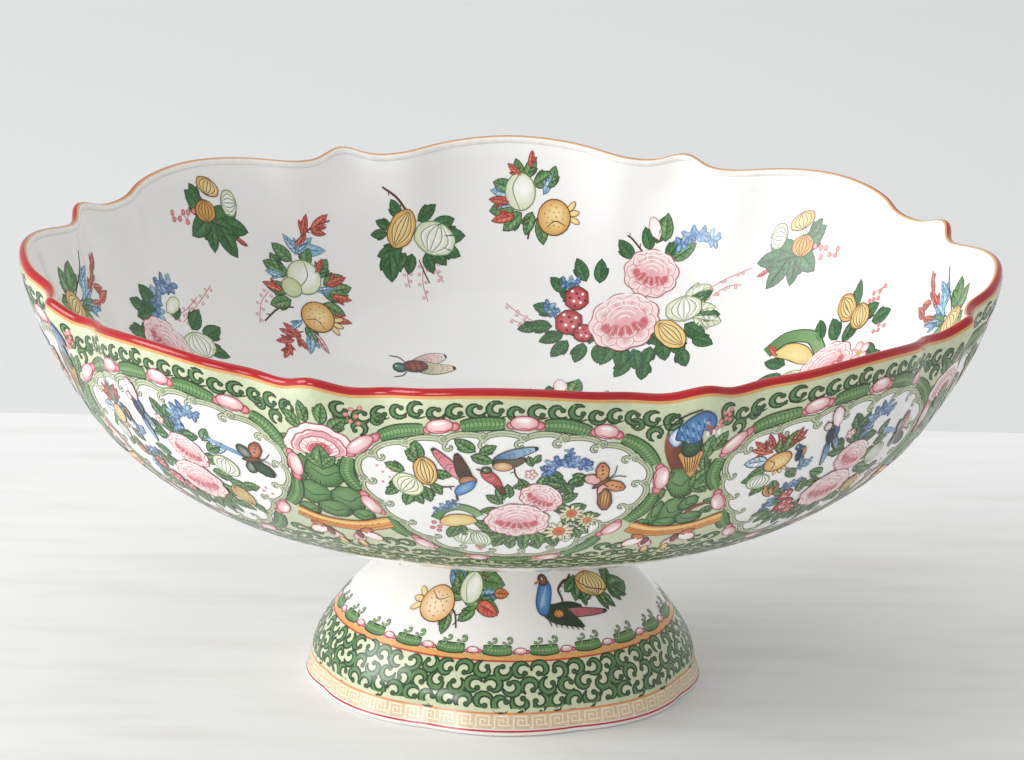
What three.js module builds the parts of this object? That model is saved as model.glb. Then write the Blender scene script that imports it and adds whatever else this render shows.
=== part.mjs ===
// Footed porcelain serving bowl with an eight-lobed bracket rim.  Millimetres, +Z up.
// The origin is the centre of the foot's resting face, and the middle of a lobe faces -Y.
import * as THREE from 'three';

// ---- Driving dimensions -------------------------------------------------------------
const LOBES = 8;
const RIM_RADIUS = 150;          // outside of the lip, averaged round the lobes
const BOWL_DEPTH = 81.2;         // top of the lip down to the bowl's flat underside
const FOOT_HEIGHT = 54;          // table up to the bowl's flat underside
const FLAT_RADIUS = 38;          // flat disc in the middle of the underside
const WALL = 4.2;                // porcelain wall of the bowl
const LIP = 3.0;                 // thickness of the finished lip, enamel included
const ENAMEL = 0.5;              // fired enamel on the lip
const ENAMEL_DROP_OUTSIDE = 2.2; // how far the enamel runs down outside the rounded top
const ENAMEL_DROP_INSIDE = 0.7;  // and inside it

// The wall's curve leaves the flat underside level and arrives at the lip upright.
const WALL_LOW_PULL = 0.53;      // level reach of its start, as a share of flat to rim
const WALL_HIGH_REACH = 0.897;   // its upper handle outwards, as a share of flat to rim
const WALL_HIGH_DROP = 0.665;    // and down, as a share of rim to flat

const EAR_REACH = 4;             // bracket point between two lobes, outwards
const EAR_LIFT = 3.2;            // and upwards
const EAR_HALF_ANGLE = 3;        // degrees
const DIP_DEPTH = 2.5;           // hollow on each side of a bracket point
const DIP_ANGLE = 8.5;           // degrees from the bracket point
const DIP_HALF_ANGLE = 3.5;      // degrees
const LOBE_SWELL = 2.7;          // lobe's middle outwards of the mean radius
const LOBE_CROWN = 2.5;          // and above the mean height
const LOBE_HOLD = 5;             // lobes and bracket points keep full strength this far down,
const LOBE_FADE = 62;            // the lobes die out this far below the lip
const EAR_FADE = 20;             // and the bracket points this far below it

const NECK_RADIUS = 27;          // foot where it meets the bowl
const BELL_RADIUS = 60.2;        // foot above its rolled edge
const FOOT_RADIUS = 62.3;        // outermost edge of the foot
const FOOT_EDGE_HEIGHT = 8;      // the edge flares out below this level
const FOOT_EDGE_ROUND = 1.4;     // rounding at the resting face
const FOOT_WALL = 4.6;
const FOOT_CUSP = 1.7;           // how far the foot's edge is pinched between its lobes
const FOOT_CUSP_FADE = 24;       // the pinches die out at this height

const LUTE_HEIGHT = 1.6;         // fired slip that joins the foot to the bowl
const LUTE_BULGE = 0.9;          // it stands out round the neck by this much
const CLEARANCE = 0.3;           // between neighbouring pieces

// The bell's curve, in shares of its height.
const BELL_LOW_PULL = 0.3;       // upright reach of its start
const BELL_NECK_FLARE = 0.07;    // outward lean below the neck
const BELL_NECK_PULL = 0.18;     // downward reach of its end

const LOBE_STEPS = 12;           // facets round one lobe of the rim
const FOOT_LOBE_STEPS = 8;       // and of the foot
const WALL_STEPS = 9;            // facets down the bowl's wall
const BELL_STEPS = 6;            // facets down the foot
const BARE_LIP_STEPS = 3;        // facets over the bare lip,
const LIP_STEPS = 4;             // over and under its enamel
const FOOT_EDGE_STEPS = 2;       // and round the foot's resting edge

// ---- Levels that follow -------------------------------------------------------------
const RIM_HEIGHT = FOOT_HEIGHT + BOWL_DEPTH;
const LIP_ROUND = LIP / 2;
const LIP_CENTRE = new THREE.Vector2(RIM_RADIUS - LIP_ROUND, RIM_HEIGHT - LIP_ROUND);
const BARE_LIP_ROUND = LIP_ROUND - ENAMEL - CLEARANCE;
const FOOT_TOP = FOOT_HEIGHT - LUTE_HEIGHT - 2 * CLEARANCE;

const point = (radius, height) => new THREE.Vector2(radius, height);
const mix = (a, b, share) => a + (b - a) * share;
const bump = (x) => Math.exp(-x * x);

// Points of a curve, ends included, each moved sideways by `offset` to the curve's left.
function sampled(curve, steps, offset = 0) {
  return Array.from({ length: steps + 1 }, (_, i) => {
    const along = curve.getTangent(i / steps);
    return curve.getPoint(i / steps).add(point(-along.y, along.x).multiplyScalar(offset));
  });
}

// Points of an arc about `centre`, from one angle to another, in degrees.
function arc(centre, radius, from, to, steps) {
  return Array.from({ length: steps + 1 }, (_, i) => {
    const angle = THREE.MathUtils.degToRad(mix(from, to, i / steps));
    return point(centre.x + radius * Math.cos(angle), centre.y + radius * Math.sin(angle));
  });
}

// Turns an outline of (radius, height) about Z, then lets `shape` move every point.
// The outline runs upwards outside the solid and downwards inside it.
function turned(outline, steps, shape) {
  const geometry = new THREE.LatheGeometry(outline, steps);
  geometry.rotateX(Math.PI / 2);
  const position = geometry.getAttribute('position');
  for (let i = 0; i < position.count; i++) {
    const angle = Math.atan2(position.getX(i), -position.getY(i));
    const radius = Math.hypot(position.getX(i), position.getY(i));
    const moved = shape(radius, position.getZ(i), angle);
    position.setXYZ(i, moved.x * Math.sin(angle), -moved.x * Math.cos(angle), moved.y);
  }
  geometry.computeVertexNormals();
  return geometry;
}

// Angle in degrees from the nearest bracket point; those lie between the lobes.
function fromEar(angle) {
  const pitch = 360 / LOBES;
  const turn = THREE.MathUtils.radToDeg(angle) - pitch / 2;
  return turn - pitch * Math.round(turn / pitch);
}

// 1 at `from`, falling smoothly to 0 at `to`.
const fade = (value, from, to) => THREE.MathUtils.smoothstep(to - value, 0, to - from) ** 1.5;

// The lobed shape: full strength at the lip, dying out down the wall.
function lobed(radius, height, angle) {
  const ear = fromEar(angle);
  const depth = Math.max(0, RIM_HEIGHT - height);
  const lobe = fade(depth, LOBE_HOLD, LOBE_FADE);
  const wave = -Math.cos(THREE.MathUtils.degToRad(LOBES * ear)) * lobe;
  const peak = bump(ear / EAR_HALF_ANGLE) * fade(depth, LOBE_HOLD, EAR_FADE);
  const hollow = bump((Math.abs(ear) - DIP_ANGLE) / DIP_HALF_ANGLE) * lobe;
  return point(
    radius + LOBE_SWELL * wave + EAR_REACH * peak - DIP_DEPTH * hollow,
    height + LOBE_CROWN * wave + EAR_LIFT * peak,
  );
}

// The foot's lobes meet in pinches, straight below the bracket points of the rim.
function pinched(radius, height, angle) {
  const cusp = 1 - Math.abs(Math.sin(THREE.MathUtils.degToRad(LOBES * fromEar(angle) / 2)));
  return point(radius - FOOT_CUSP * cusp * fade(height, 0, FOOT_CUSP_FADE), height);
}

// ---- Bowl: wall and floor in one, thinned at the lip where the enamel sits ------------
function bowlBody() {
  const enamelEnd = LIP_CENTRE.y - ENAMEL_DROP_OUTSIDE - CLEARANCE;
  const enamelEndInside = LIP_CENTRE.y - ENAMEL_DROP_INSIDE - CLEARANCE;
  const outside = new THREE.CubicBezierCurve(
    point(FLAT_RADIUS, FOOT_HEIGHT),
    point(mix(FLAT_RADIUS, RIM_RADIUS, WALL_LOW_PULL), FOOT_HEIGHT),
    point(
      mix(FLAT_RADIUS, RIM_RADIUS, WALL_HIGH_REACH),
      mix(RIM_HEIGHT, FOOT_HEIGHT, WALL_HIGH_DROP),
    ),
    point(RIM_RADIUS, enamelEnd),
  );
  const inside = sampled(outside, WALL_STEPS, WALL).slice(0, -1).reverse();
  const outline = [
    point(0, FOOT_HEIGHT),
    ...sampled(outside, WALL_STEPS),
    point(LIP_CENTRE.x + BARE_LIP_ROUND, enamelEnd),
    ...arc(LIP_CENTRE, BARE_LIP_ROUND, 0, 180, BARE_LIP_STEPS),
    point(LIP_CENTRE.x - BARE_LIP_ROUND, enamelEndInside),
    point(RIM_RADIUS - LIP, enamelEndInside),
    ...inside,
    point(0, FOOT_HEIGHT + WALL),
  ];
  return turned(outline, LOBES * LOBE_STEPS, lobed);
}

// ---- Enamel: a band fired over the lip, hugging it ------------------------------------
function rimEnamel() {
  const skin = LIP_ROUND - ENAMEL;
  const outline = [
    point(LIP_CENTRE.x + LIP_ROUND, LIP_CENTRE.y - ENAMEL_DROP_OUTSIDE),
    ...arc(LIP_CENTRE, LIP_ROUND, 0, 180, LIP_STEPS),
    point(LIP_CENTRE.x - LIP_ROUND, LIP_CENTRE.y - ENAMEL_DROP_INSIDE),
    point(LIP_CENTRE.x - skin, LIP_CENTRE.y - ENAMEL_DROP_INSIDE),
    ...arc(LIP_CENTRE, skin, 180, 0, LIP_STEPS),
    point(LIP_CENTRE.x + skin, LIP_CENTRE.y - ENAMEL_DROP_OUTSIDE),
  ];
  return turned([...outline, outline[0].clone()], LOBES * LOBE_STEPS, lobed);
}

// ---- Foot: a hollow bell, open below and at the neck ----------------------------------
function pedestalFoot() {
  const height = FOOT_TOP - FOOT_EDGE_HEIGHT;
  const bell = new THREE.CubicBezierCurve(
    point(BELL_RADIUS, FOOT_EDGE_HEIGHT),
    point(BELL_RADIUS, FOOT_EDGE_HEIGHT + BELL_LOW_PULL * height),
    point(NECK_RADIUS + BELL_NECK_FLARE * height, FOOT_TOP - BELL_NECK_PULL * height),
    point(NECK_RADIUS, FOOT_TOP),
  );
  const edge = point(FOOT_RADIUS - FOOT_EDGE_ROUND, FOOT_EDGE_ROUND);
  const outer = sampled(bell, BELL_STEPS);
  const inner = sampled(bell, BELL_STEPS, FOOT_WALL).reverse();
  inner[0].y = FOOT_TOP;
  const outline = [
    point(BELL_RADIUS - FOOT_WALL, 0),
    ...arc(edge, FOOT_EDGE_ROUND, -90, 0, FOOT_EDGE_STEPS),
    ...outer,
    ...inner,
  ];
  return turned([...outline, outline[0].clone()], LOBES * FOOT_LOBE_STEPS, pinched);
}

// ---- Slip joint: the fired ring of clay between foot and bowl -------------------------
function slipJoint() {
  const bottom = FOOT_TOP + CLEARANCE;
  const inner = NECK_RADIUS - FOOT_WALL;
  const outline = [
    point(inner, bottom),
    point(NECK_RADIUS, bottom),
    point(NECK_RADIUS + LUTE_BULGE, bottom + LUTE_HEIGHT / 2),
    point(NECK_RADIUS + LUTE_BULGE, bottom + LUTE_HEIGHT),
    point(inner, bottom + LUTE_HEIGHT),
  ];
  return turned([...outline, outline[0].clone()], LOBES * FOOT_LOBE_STEPS, point);
}

// ---- Finishes -------------------------------------------------------------------------
const glaze = new THREE.MeshStandardMaterial({ color: 0xf4f3ef, roughness: 0.12, metalness: 0 });
const redEnamel = new THREE.MeshStandardMaterial({ color: 0xa5131c, roughness: 0.15, metalness: 0 });
const footGlaze = new THREE.MeshStandardMaterial({ color: 0xf0efe9, roughness: 0.14, metalness: 0 });
const biscuit = new THREE.MeshStandardMaterial({ color: 0xe9e4d8, roughness: 0.6, metalness: 0 });

function piece(name, geometry, material) {
  const mesh = new THREE.Mesh(geometry, material);
  mesh.name = name;
  return mesh;
}

const bowl = new THREE.Group();
bowl.add(
  piece('bowl_body', bowlBody(), glaze),
  piece('rim_enamel', rimEnamel(), redEnamel),
  piece('pedestal_foot', pedestalFoot(), footGlaze),
  piece('slip_joint', slipJoint(), biscuit),
);

export default bowl;
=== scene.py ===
"""A footed porcelain serving bowl, painted in famille-rose enamels: looks built around its CAD frame."""
import math

import bpy
import numpy as np
from mathutils import Matrix, Vector


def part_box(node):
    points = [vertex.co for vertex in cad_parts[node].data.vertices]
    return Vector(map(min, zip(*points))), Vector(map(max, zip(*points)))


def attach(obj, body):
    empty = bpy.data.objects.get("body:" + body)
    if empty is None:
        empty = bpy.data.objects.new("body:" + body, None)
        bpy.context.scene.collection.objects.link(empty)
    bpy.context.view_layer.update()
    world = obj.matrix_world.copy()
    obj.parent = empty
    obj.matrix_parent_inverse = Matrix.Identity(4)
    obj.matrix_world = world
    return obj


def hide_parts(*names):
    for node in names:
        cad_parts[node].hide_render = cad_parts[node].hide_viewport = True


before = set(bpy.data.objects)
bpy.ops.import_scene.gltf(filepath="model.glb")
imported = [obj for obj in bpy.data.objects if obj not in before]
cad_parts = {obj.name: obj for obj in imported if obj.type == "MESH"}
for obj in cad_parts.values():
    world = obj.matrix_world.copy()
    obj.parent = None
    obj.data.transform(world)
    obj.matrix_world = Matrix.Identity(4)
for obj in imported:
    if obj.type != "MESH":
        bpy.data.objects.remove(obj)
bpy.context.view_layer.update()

MM = 0.001
rng = np.random.default_rng(8)


# ---- Sizes: the lobed form in millimetres, hung on the boxes of the CAD pieces ----------
LOBES = 8
LOBE_ANGLE = 360 / LOBES
WALL, LIP, ENAMEL, GAP = 4.2, 3.0, 0.5, 0.3
LOBE_SWELL, LOBE_CROWN, LOBE_HOLD, LOBE_FADE = 2.7, 2.5, 5, 62
EAR_REACH, EAR_LIFT, EAR_SPREAD, EAR_FADE = 4, 3.2, 3, 20
DIP_DEPTH, DIP_ANGLE, DIP_SPREAD = 2.5, 8.5, 3.5
ENAMEL_OUTSIDE, ENAMEL_INSIDE = 2.2, 0.7
FLAT_RADIUS, NECK_RADIUS, BELL_RADIUS = 38, 27, 60.2
EDGE_HEIGHT, EDGE_ROUND, FOOT_WALL, CUSP, CUSP_FADE = 8, 1.4, 4.6, 1.7, 24
rim_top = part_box("rim_enamel")[1]
RIM_RADIUS, RIM_HEIGHT = rim_top[0] / MM - LOBE_SWELL, rim_top[2] / MM - LOBE_CROWN
BOWL_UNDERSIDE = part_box("bowl_body")[0][2] / MM
FOOT_RADIUS, FOOT_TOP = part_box("pedestal_foot")[1][0] / MM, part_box("pedestal_foot")[1][2] / MM
AROUND = 480
WALL_LOW_PULL, WALL_HIGH_REACH, WALL_HIGH_DROP = .53, .897, .665
BELL_LOW_PULL, BELL_NECK_FLARE, BELL_NECK_PULL = .3, .07, .18
THINNING_DEPTH = 26
# The radii at which the sheets of the outside and the foot are unrolled.
OUTSIDE_REACH, FOOT_REACH = 140, 55


def mix(a, b, share):
    return a + (b - a) * share


def fade(value, start, end):
    share = np.clip((end - value) / (end - start), 0, 1)
    return (share * share * (3 - 2 * share)) ** 1.5


def from_ear(angle):
    """Degrees past the nearest ear, where two lobes meet."""
    turn = angle - LOBE_ANGLE / 2
    return turn - LOBE_ANGLE * np.round(turn / LOBE_ANGLE)


def lobed(radius, height, angle):
    """The eight lobes, ears and dips, which fade below the rim."""
    ear = from_ear(angle)
    depth = np.maximum(0, RIM_HEIGHT - height)
    lobe = fade(depth, LOBE_HOLD, LOBE_FADE)
    wave = -np.cos(np.radians(LOBES * ear)) * lobe
    peak = np.exp(-(ear / EAR_SPREAD) ** 2) * fade(depth, LOBE_HOLD, EAR_FADE)
    hollow = np.exp(-((np.abs(ear) - DIP_ANGLE) / DIP_SPREAD) ** 2) * lobe
    return (radius + LOBE_SWELL * wave + EAR_REACH * peak - DIP_DEPTH * hollow,
            height + LOBE_CROWN * wave + EAR_LIFT * peak)


def pinched(radius, height, angle):
    """The small cusps at the edge of the foot."""
    cusp = 1 - np.abs(np.sin(np.radians(LOBES * from_ear(angle) / 2)))
    return radius - CUSP * cusp * fade(height, 0, CUSP_FADE), height


def bezier(corners, offset=0.0, steps=200):
    t = np.linspace(0, 1, steps + 1)[:, None]
    a, b, c, d = (np.array(p, float) for p in corners)
    on = (1 - t) ** 3 * a + 3 * (1 - t) ** 2 * t * b + 3 * (1 - t) * t * t * c + t ** 3 * d
    run = 3 * (1 - t) ** 2 * (b - a) + 6 * (1 - t) * t * (c - b) + 3 * t * t * (d - c)
    side = np.stack([-run[:, 1], run[:, 0]], 1) / np.hypot(run[:, 0], run[:, 1])[:, None]
    return on + side * offset


def arc(centre, radius, start, end, steps):
    turn = np.radians(np.linspace(start, end, steps + 1))
    return np.stack([centre[0] + radius * np.cos(turn), centre[1] + radius * np.sin(turn)], 1)


LIP_CENTRE = lip_radius, lip_height = RIM_RADIUS - LIP / 2, RIM_HEIGHT - LIP / 2
ENAMEL_END = lip_height - ENAMEL_OUTSIDE - GAP
WALL_CURVE = [(FLAT_RADIUS, BOWL_UNDERSIDE), (mix(FLAT_RADIUS, RIM_RADIUS, WALL_LOW_PULL), BOWL_UNDERSIDE),
              (mix(FLAT_RADIUS, RIM_RADIUS, WALL_HIGH_REACH), mix(RIM_HEIGHT, BOWL_UNDERSIDE,
                                                                  WALL_HIGH_DROP)),
              (RIM_RADIUS, ENAMEL_END)]
BELL = FOOT_TOP - EDGE_HEIGHT
BELL_CURVE = [(BELL_RADIUS, EDGE_HEIGHT), (BELL_RADIUS, EDGE_HEIGHT + BELL_LOW_PULL * BELL),
              (NECK_RADIUS + BELL_NECK_FLARE * BELL, FOOT_TOP - BELL_NECK_PULL * BELL),
              (NECK_RADIUS, FOOT_TOP)]


def placed(radius, height, turn):
    """Points at these radii and heights; a turn of nothing faces -Y."""
    return np.stack([radius * np.sin(turn), -radius * np.cos(turn), height], 1)


def steps_along(path):
    return np.r_[0, np.cumsum(np.hypot(*np.diff(path, axis=0).T))]


# ---- Skins: each takes enamel work in millimetres to its place on the porcelain ---------
class Skin:
    """A sheet in millimetres: unrolled where it has a reach, and flat from its middle where it has none."""
    def __init__(self, profile, shape, reach=None):
        self.profile, self.down, self.shape, self.reach = profile, steps_along(profile), shape, reach

    def spot(self, flat):
        if self.reach:
            angle, along = flat[:, 0] / self.reach, flat[:, 1]
        else:
            angle = np.arctan2(flat[:, 0], -flat[:, 1])
            along = self.down[-1] - np.hypot(flat[:, 0], flat[:, 1])
        radius = np.interp(along, self.down, self.profile[:, 0])
        height = np.interp(along, self.down, self.profile[:, 1])
        radius, height = self.shape(radius, height, np.degrees(angle))
        return placed(radius, height, angle)

    def lay(self, flat, lift):
        """Points and outward directions on this skin, in metres."""
        step = .05
        on = self.spot(flat)
        right = self.spot(flat + (step, 0)) - self.spot(flat - (step, 0))
        down = self.spot(flat + (0, step)) - self.spot(flat - (0, step))
        out = np.cross(down, right)
        out /= np.maximum(np.linalg.norm(out, axis=1), 1e-9)[:, None]
        if not self.reach:
            out *= np.where(out[:, 2] < 0, -1, 1)[:, None]
        return (on + out * lift[:, None]) * MM, out


wall, bell = bezier(WALL_CURVE), bezier(BELL_CURVE)
outside = Skin(np.vstack([[RIM_RADIUS, lip_height], wall[::-1]]), lobed, reach=OUTSIDE_REACH)
inner_wall = bezier(WALL_CURVE, WALL)[::-1]
near_lip = np.clip(1 - (inner_wall[0, 1] - inner_wall[:, 1]) / THINNING_DEPTH, 0, 1)
inner_wall[:, 0] += (RIM_RADIUS - LIP - inner_wall[0, 0]) * near_lip ** 2
inside = Skin(np.vstack([[RIM_RADIUS - LIP, lip_height], inner_wall, [0, BOWL_UNDERSIDE + WALL]]), lobed)
foot_side = Skin(np.vstack([bell[::-1], [FOOT_RADIUS, EDGE_ROUND],
                            [FOOT_RADIUS - EDGE_ROUND, 0]]), pinched, reach=FOOT_REACH)


# ---- Materials ---------------------------------------------------------------------------
def linear(red, green, blue):
    share = np.array([red, green, blue]) / 255
    return np.where(share < .04045, share / 12.92, ((share + .055) / 1.055) ** 2.4)


class Value:
    """A shader socket that takes plain arithmetic."""
    def __init__(self, recipe, socket):
        self.recipe, self.socket = recipe, socket

    def with_(self, operation, other, swap=False):
        pair = (other, self) if swap else (self, other)
        return self.recipe.node("ShaderNodeMath", dict(operation=operation), {0: pair[0], 1: pair[1]})

    def __add__(self, other): return self.with_("ADD", other)
    def __sub__(self, other): return self.with_("SUBTRACT", other)
    def __mul__(self, other): return self.with_("MULTIPLY", other)
    def __rsub__(self, other): return self.with_("SUBTRACT", other, True)
    __radd__, __rmul__ = __add__, __mul__


class Recipe:
    """A material's nodes."""
    def __init__(self, name, **constants):
        self.material = bpy.data.materials.new(name)
        self.material.use_nodes = True
        self.tree = self.material.node_tree
        self.shader = self.tree.nodes["Principled BSDF"]
        for key, value in constants.items():
            self.shader.inputs[key.replace("_", " ")].default_value = value
        self.place = self.node("ShaderNodeTexCoord", {}, {}, "Object").socket

    def node(self, kind, settings, sockets, output=0):
        made = self.tree.nodes.new(kind)
        for key, value in settings.items():
            if key == "stops":
                ramp = made.color_ramp
                while len(ramp.elements) < len(value):
                    ramp.elements.new(1)
                for element, (spot, shade) in zip(ramp.elements, value):
                    element.position, element.color = spot, (*shade, 1) if len(shade) == 3 else shade
            else:
                setattr(made, key, value)
        for key, value in sockets.items():
            value = value.socket if isinstance(value, Value) else value
            if isinstance(value, bpy.types.NodeSocket):
                self.tree.links.new(value, made.inputs[key])
            else:
                made.inputs[key].default_value = value
        return Value(self, made.outputs[output])

    def noise(self, scale, detail, stretch=None):
        place = self.place
        if stretch:
            place = self.node("ShaderNodeMapping", {}, {"Vector": place, "Scale": stretch})
        return self.node("ShaderNodeTexNoise", {}, {"Vector": place, "Scale": scale, "Detail": detail}, "Fac")

    def blend(self, share, one, other):
        return self.node("ShaderNodeMix", dict(data_type="RGBA"), {"Factor": share, 6: one, 7: other}, 2)

    def feed(self, **links):
        for key, value in links.items():
            self.tree.links.new(value.socket, self.shader.inputs[key.replace("_", " ")])
        return self.material

    def bump(self, height, strength, distance):
        return self.node("ShaderNodeBump", {}, {"Strength": strength, "Distance": distance, "Height": height})


def rgba(*tint):
    return (*(float(v) for v in linear(*tint)), 1.0)


def porcelain(name, tone, cloud):
    recipe = Recipe(name, IOR=1.5, Specular_IOR_Level=.5)
    clouds = recipe.noise(22, 4)
    colour = recipe.blend(clouds, rgba(*tone), rgba(*cloud))
    ripple = recipe.noise(55, 2)
    return recipe.feed(Base_Color=colour, Roughness=clouds * .06 + .07,
                       Normal=recipe.bump(ripple, .08, .0004))


def painted(name, rough=.16):
    recipe = Recipe(name, IOR=1.5)
    tint = recipe.node("ShaderNodeAttribute", dict(attribute_name="tint"), {}, "Color")
    wash = recipe.noise(420, 3)
    streak = recipe.noise(1500, 2)
    depth = wash * .26 + streak * .14 + .8
    colour = recipe.node("ShaderNodeVectorMath", dict(operation="SCALE"), {0: tint, "Scale": depth})
    return recipe.feed(Base_Color=colour, Roughness=wash * .12 + rough,
                       Normal=recipe.bump(wash, .12, .0001))


white_glaze = porcelain("white_glaze", (243, 242, 239), (236, 236, 234))
foot_white = porcelain("foot_glaze", (242, 240, 235), (234, 233, 229))
enamel = painted("painted_enamel")
rim_gloss = painted("rim_enamel_gloss", .08)


# ---- Making and finishing pieces -----------------------------------------------------------
def finish_piece(piece, name, material, slot, *nodes):
    piece.name = piece.data.name = name
    piece.data.materials.clear()
    piece.data.materials.append(material)
    bpy.ops.object.select_all(action="DESELECT")
    bpy.context.view_layer.objects.active = piece
    piece.select_set(True)
    bpy.ops.object.shade_smooth()
    piece.select_set(False)
    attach(piece, "root")
    if nodes:
        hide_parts(*nodes)


def tinted(mesh, tints):
    layer = mesh.color_attributes.new("tint", "FLOAT_COLOR", "POINT")
    layer.data.foreach_set("color", np.c_[tints, np.ones(len(tints))].ravel())


def thrown(outline, around, shape):
    """A form raised ring by ring from a circle: each ring is extruded, lifted and resized."""
    bpy.ops.object.select_all(action="DESELECT")
    (radius, height), tiny = outline[0], 1e-3
    bpy.ops.mesh.primitive_circle_add(vertices=around, radius=max(radius, tiny) * MM)
    piece = bpy.context.object
    bpy.ops.object.mode_set(mode="EDIT")
    bpy.ops.mesh.select_all(action="SELECT")
    bpy.ops.transform.translate(value=(0, 0, height * MM))
    for wide, high in outline[1:]:
        wide = max(wide, tiny)
        bpy.ops.mesh.extrude_region_move(TRANSFORM_OT_translate={"value": (0, 0, (high - height) * MM)})
        grow = wide / max(radius, tiny)
        bpy.ops.transform.resize(value=(grow, grow, 1), center_override=(0, 0, high * MM))
        radius, height = wide, high
    bpy.ops.mesh.select_all(action="SELECT")
    bpy.ops.mesh.remove_doubles(threshold=2e-6)
    bpy.ops.mesh.normals_make_consistent(inside=False)
    bpy.ops.object.mode_set(mode="OBJECT")
    place = np.empty(len(piece.data.vertices) * 3)
    piece.data.vertices.foreach_get("co", place)
    place = place.reshape(-1, 3) / MM
    angle = np.arctan2(place[:, 0], -place[:, 1])
    radius, height = shape(np.hypot(place[:, 0], place[:, 1]), place[:, 2], np.degrees(angle))
    place = placed(radius, height, angle) * MM
    piece.data.vertices.foreach_set("co", place.ravel())
    piece.data.update()
    return piece


def even(path, length):
    """The same path with its points a set length apart."""
    along = steps_along(path)
    spots = np.linspace(0, along[-1], max(2, int(round(along[-1] / length)) + 1))
    return np.stack([np.interp(spots, along, path[:, 0]), np.interp(spots, along, path[:, 1])], 1)


# ---- Porcelain ------------------------------------------------------------------------------
SEAM, EDGE_CHAMFER = .03, .06
bare = LIP / 2 - ENAMEL - SEAM
enamel_end_inside = lip_height - ENAMEL_INSIDE - SEAM
bowl_outline = np.vstack([
    even(np.array([[0, BOWL_UNDERSIDE], [FLAT_RADIUS, BOWL_UNDERSIDE]]), 5),
    even(wall, 4)[1:],
    [[RIM_RADIUS, ENAMEL_END + GAP - SEAM], [lip_radius + bare, ENAMEL_END + GAP - SEAM]],
    arc(LIP_CENTRE, bare, 0, 180, 8),
    [[lip_radius - bare, enamel_end_inside], [RIM_RADIUS - LIP + EDGE_CHAMFER, enamel_end_inside],
     [RIM_RADIUS - LIP, enamel_end_inside - EDGE_CHAMFER]],
    even(inner_wall, 4)[1:],
    even(np.array([[FLAT_RADIUS - 4, BOWL_UNDERSIDE + WALL], [0, BOWL_UNDERSIDE + WALL]]), 5)])
bowl = thrown(bowl_outline, AROUND, lobed)
finish_piece(bowl, "bowl_porcelain", white_glaze, "bowl_glaze", "bowl_body")

foot_outline = np.vstack([
    arc((FOOT_RADIUS - EDGE_ROUND, EDGE_ROUND), EDGE_ROUND, -90, 0, 5),
    even(np.array([[FOOT_RADIUS, EDGE_ROUND], [BELL_RADIUS, EDGE_HEIGHT]]), 1.3)[1:-1],
    even(bell, 2.4),
    even(bezier(BELL_CURVE, FOOT_WALL)[::-1], 4),
    [[BELL_RADIUS - FOOT_WALL, 0], [FOOT_RADIUS - EDGE_ROUND, 0]]])
foot = thrown(foot_outline, AROUND, pinched)
finish_piece(foot, "foot_porcelain", foot_white, "foot_glaze", "pedestal_foot")

slip_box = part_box("slip_joint")
slip_low, slip_high = slip_box[0][2] / MM, slip_box[1][2] / MM
slip_reach = slip_box[1][0] / MM
slip_inner = NECK_RADIUS - FOOT_WALL
SLIP_SHOULDER, SLIP_CORNER = .25, .3
slip = thrown(np.array([[slip_inner, slip_low], [NECK_RADIUS, slip_low],
                        [slip_reach - SLIP_SHOULDER, slip_low + SLIP_CORNER],
                        [slip_reach, (slip_low + slip_high) / 2],
                        [slip_reach - SLIP_SHOULDER, slip_high - SLIP_CORNER],
                        [NECK_RADIUS, slip_high], [slip_inner, slip_high], [slip_inner, slip_low]]), 96,
              lambda radius, height, angle: (radius, height))
finish_piece(slip, "fired_slip", foot_white, "slip_joint", "slip_joint")

skin_round = LIP / 2 - ENAMEL
rim_outline = np.vstack([
    [[lip_radius + LIP / 2, lip_height - drop] for drop in (ENAMEL_OUTSIDE, 1.3, .5, .35)],
    arc(LIP_CENTRE, LIP / 2, 0, 180, 12),
    [[lip_radius - LIP / 2, lip_height - ENAMEL_INSIDE + EDGE_CHAMFER],
     [lip_radius - LIP / 2 + EDGE_CHAMFER, lip_height - ENAMEL_INSIDE],
     [lip_radius - skin_round, lip_height - ENAMEL_INSIDE]],
    arc(LIP_CENTRE, skin_round, 180, 0, 8),
    [[lip_radius + skin_round, lip_height - ENAMEL_OUTSIDE],
     [lip_radius + LIP / 2, lip_height - ENAMEL_OUTSIDE]]])
rim_unlobed = {}


def lobed_rim(radius, height, angle):
    rim_unlobed.update(radius=radius, height=height)
    return lobed(radius, height, angle)


rim = thrown(rim_outline, AROUND, lobed_rim)
RED, GOLD, BARE = linear(170, 20, 28), linear(214, 160, 92), linear(240, 238, 234)
# Degrees round the lip, from its outer side over the top, and millimetres below its middle.
GOLD_FROM, BARE_FROM, GOLD_BELOW = 95, 128, .4
around_lip = np.degrees(np.arctan2(rim_unlobed["height"] - lip_height,
                                   rim_unlobed["radius"] - lip_radius))
gold = (rim_unlobed["height"] < lip_height - GOLD_BELOW) | (around_lip > GOLD_FROM)
bare_top = (around_lip > BARE_FROM) | ((around_lip < -90) & (rim_unlobed["radius"] < lip_radius))
tinted(rim.data, np.where(bare_top[:, None], BARE, np.where(gold[:, None], GOLD, RED)))
finish_piece(rim, "rim_enamel_band", rim_gloss, "rim_enamel", "rim_enamel")


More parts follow.
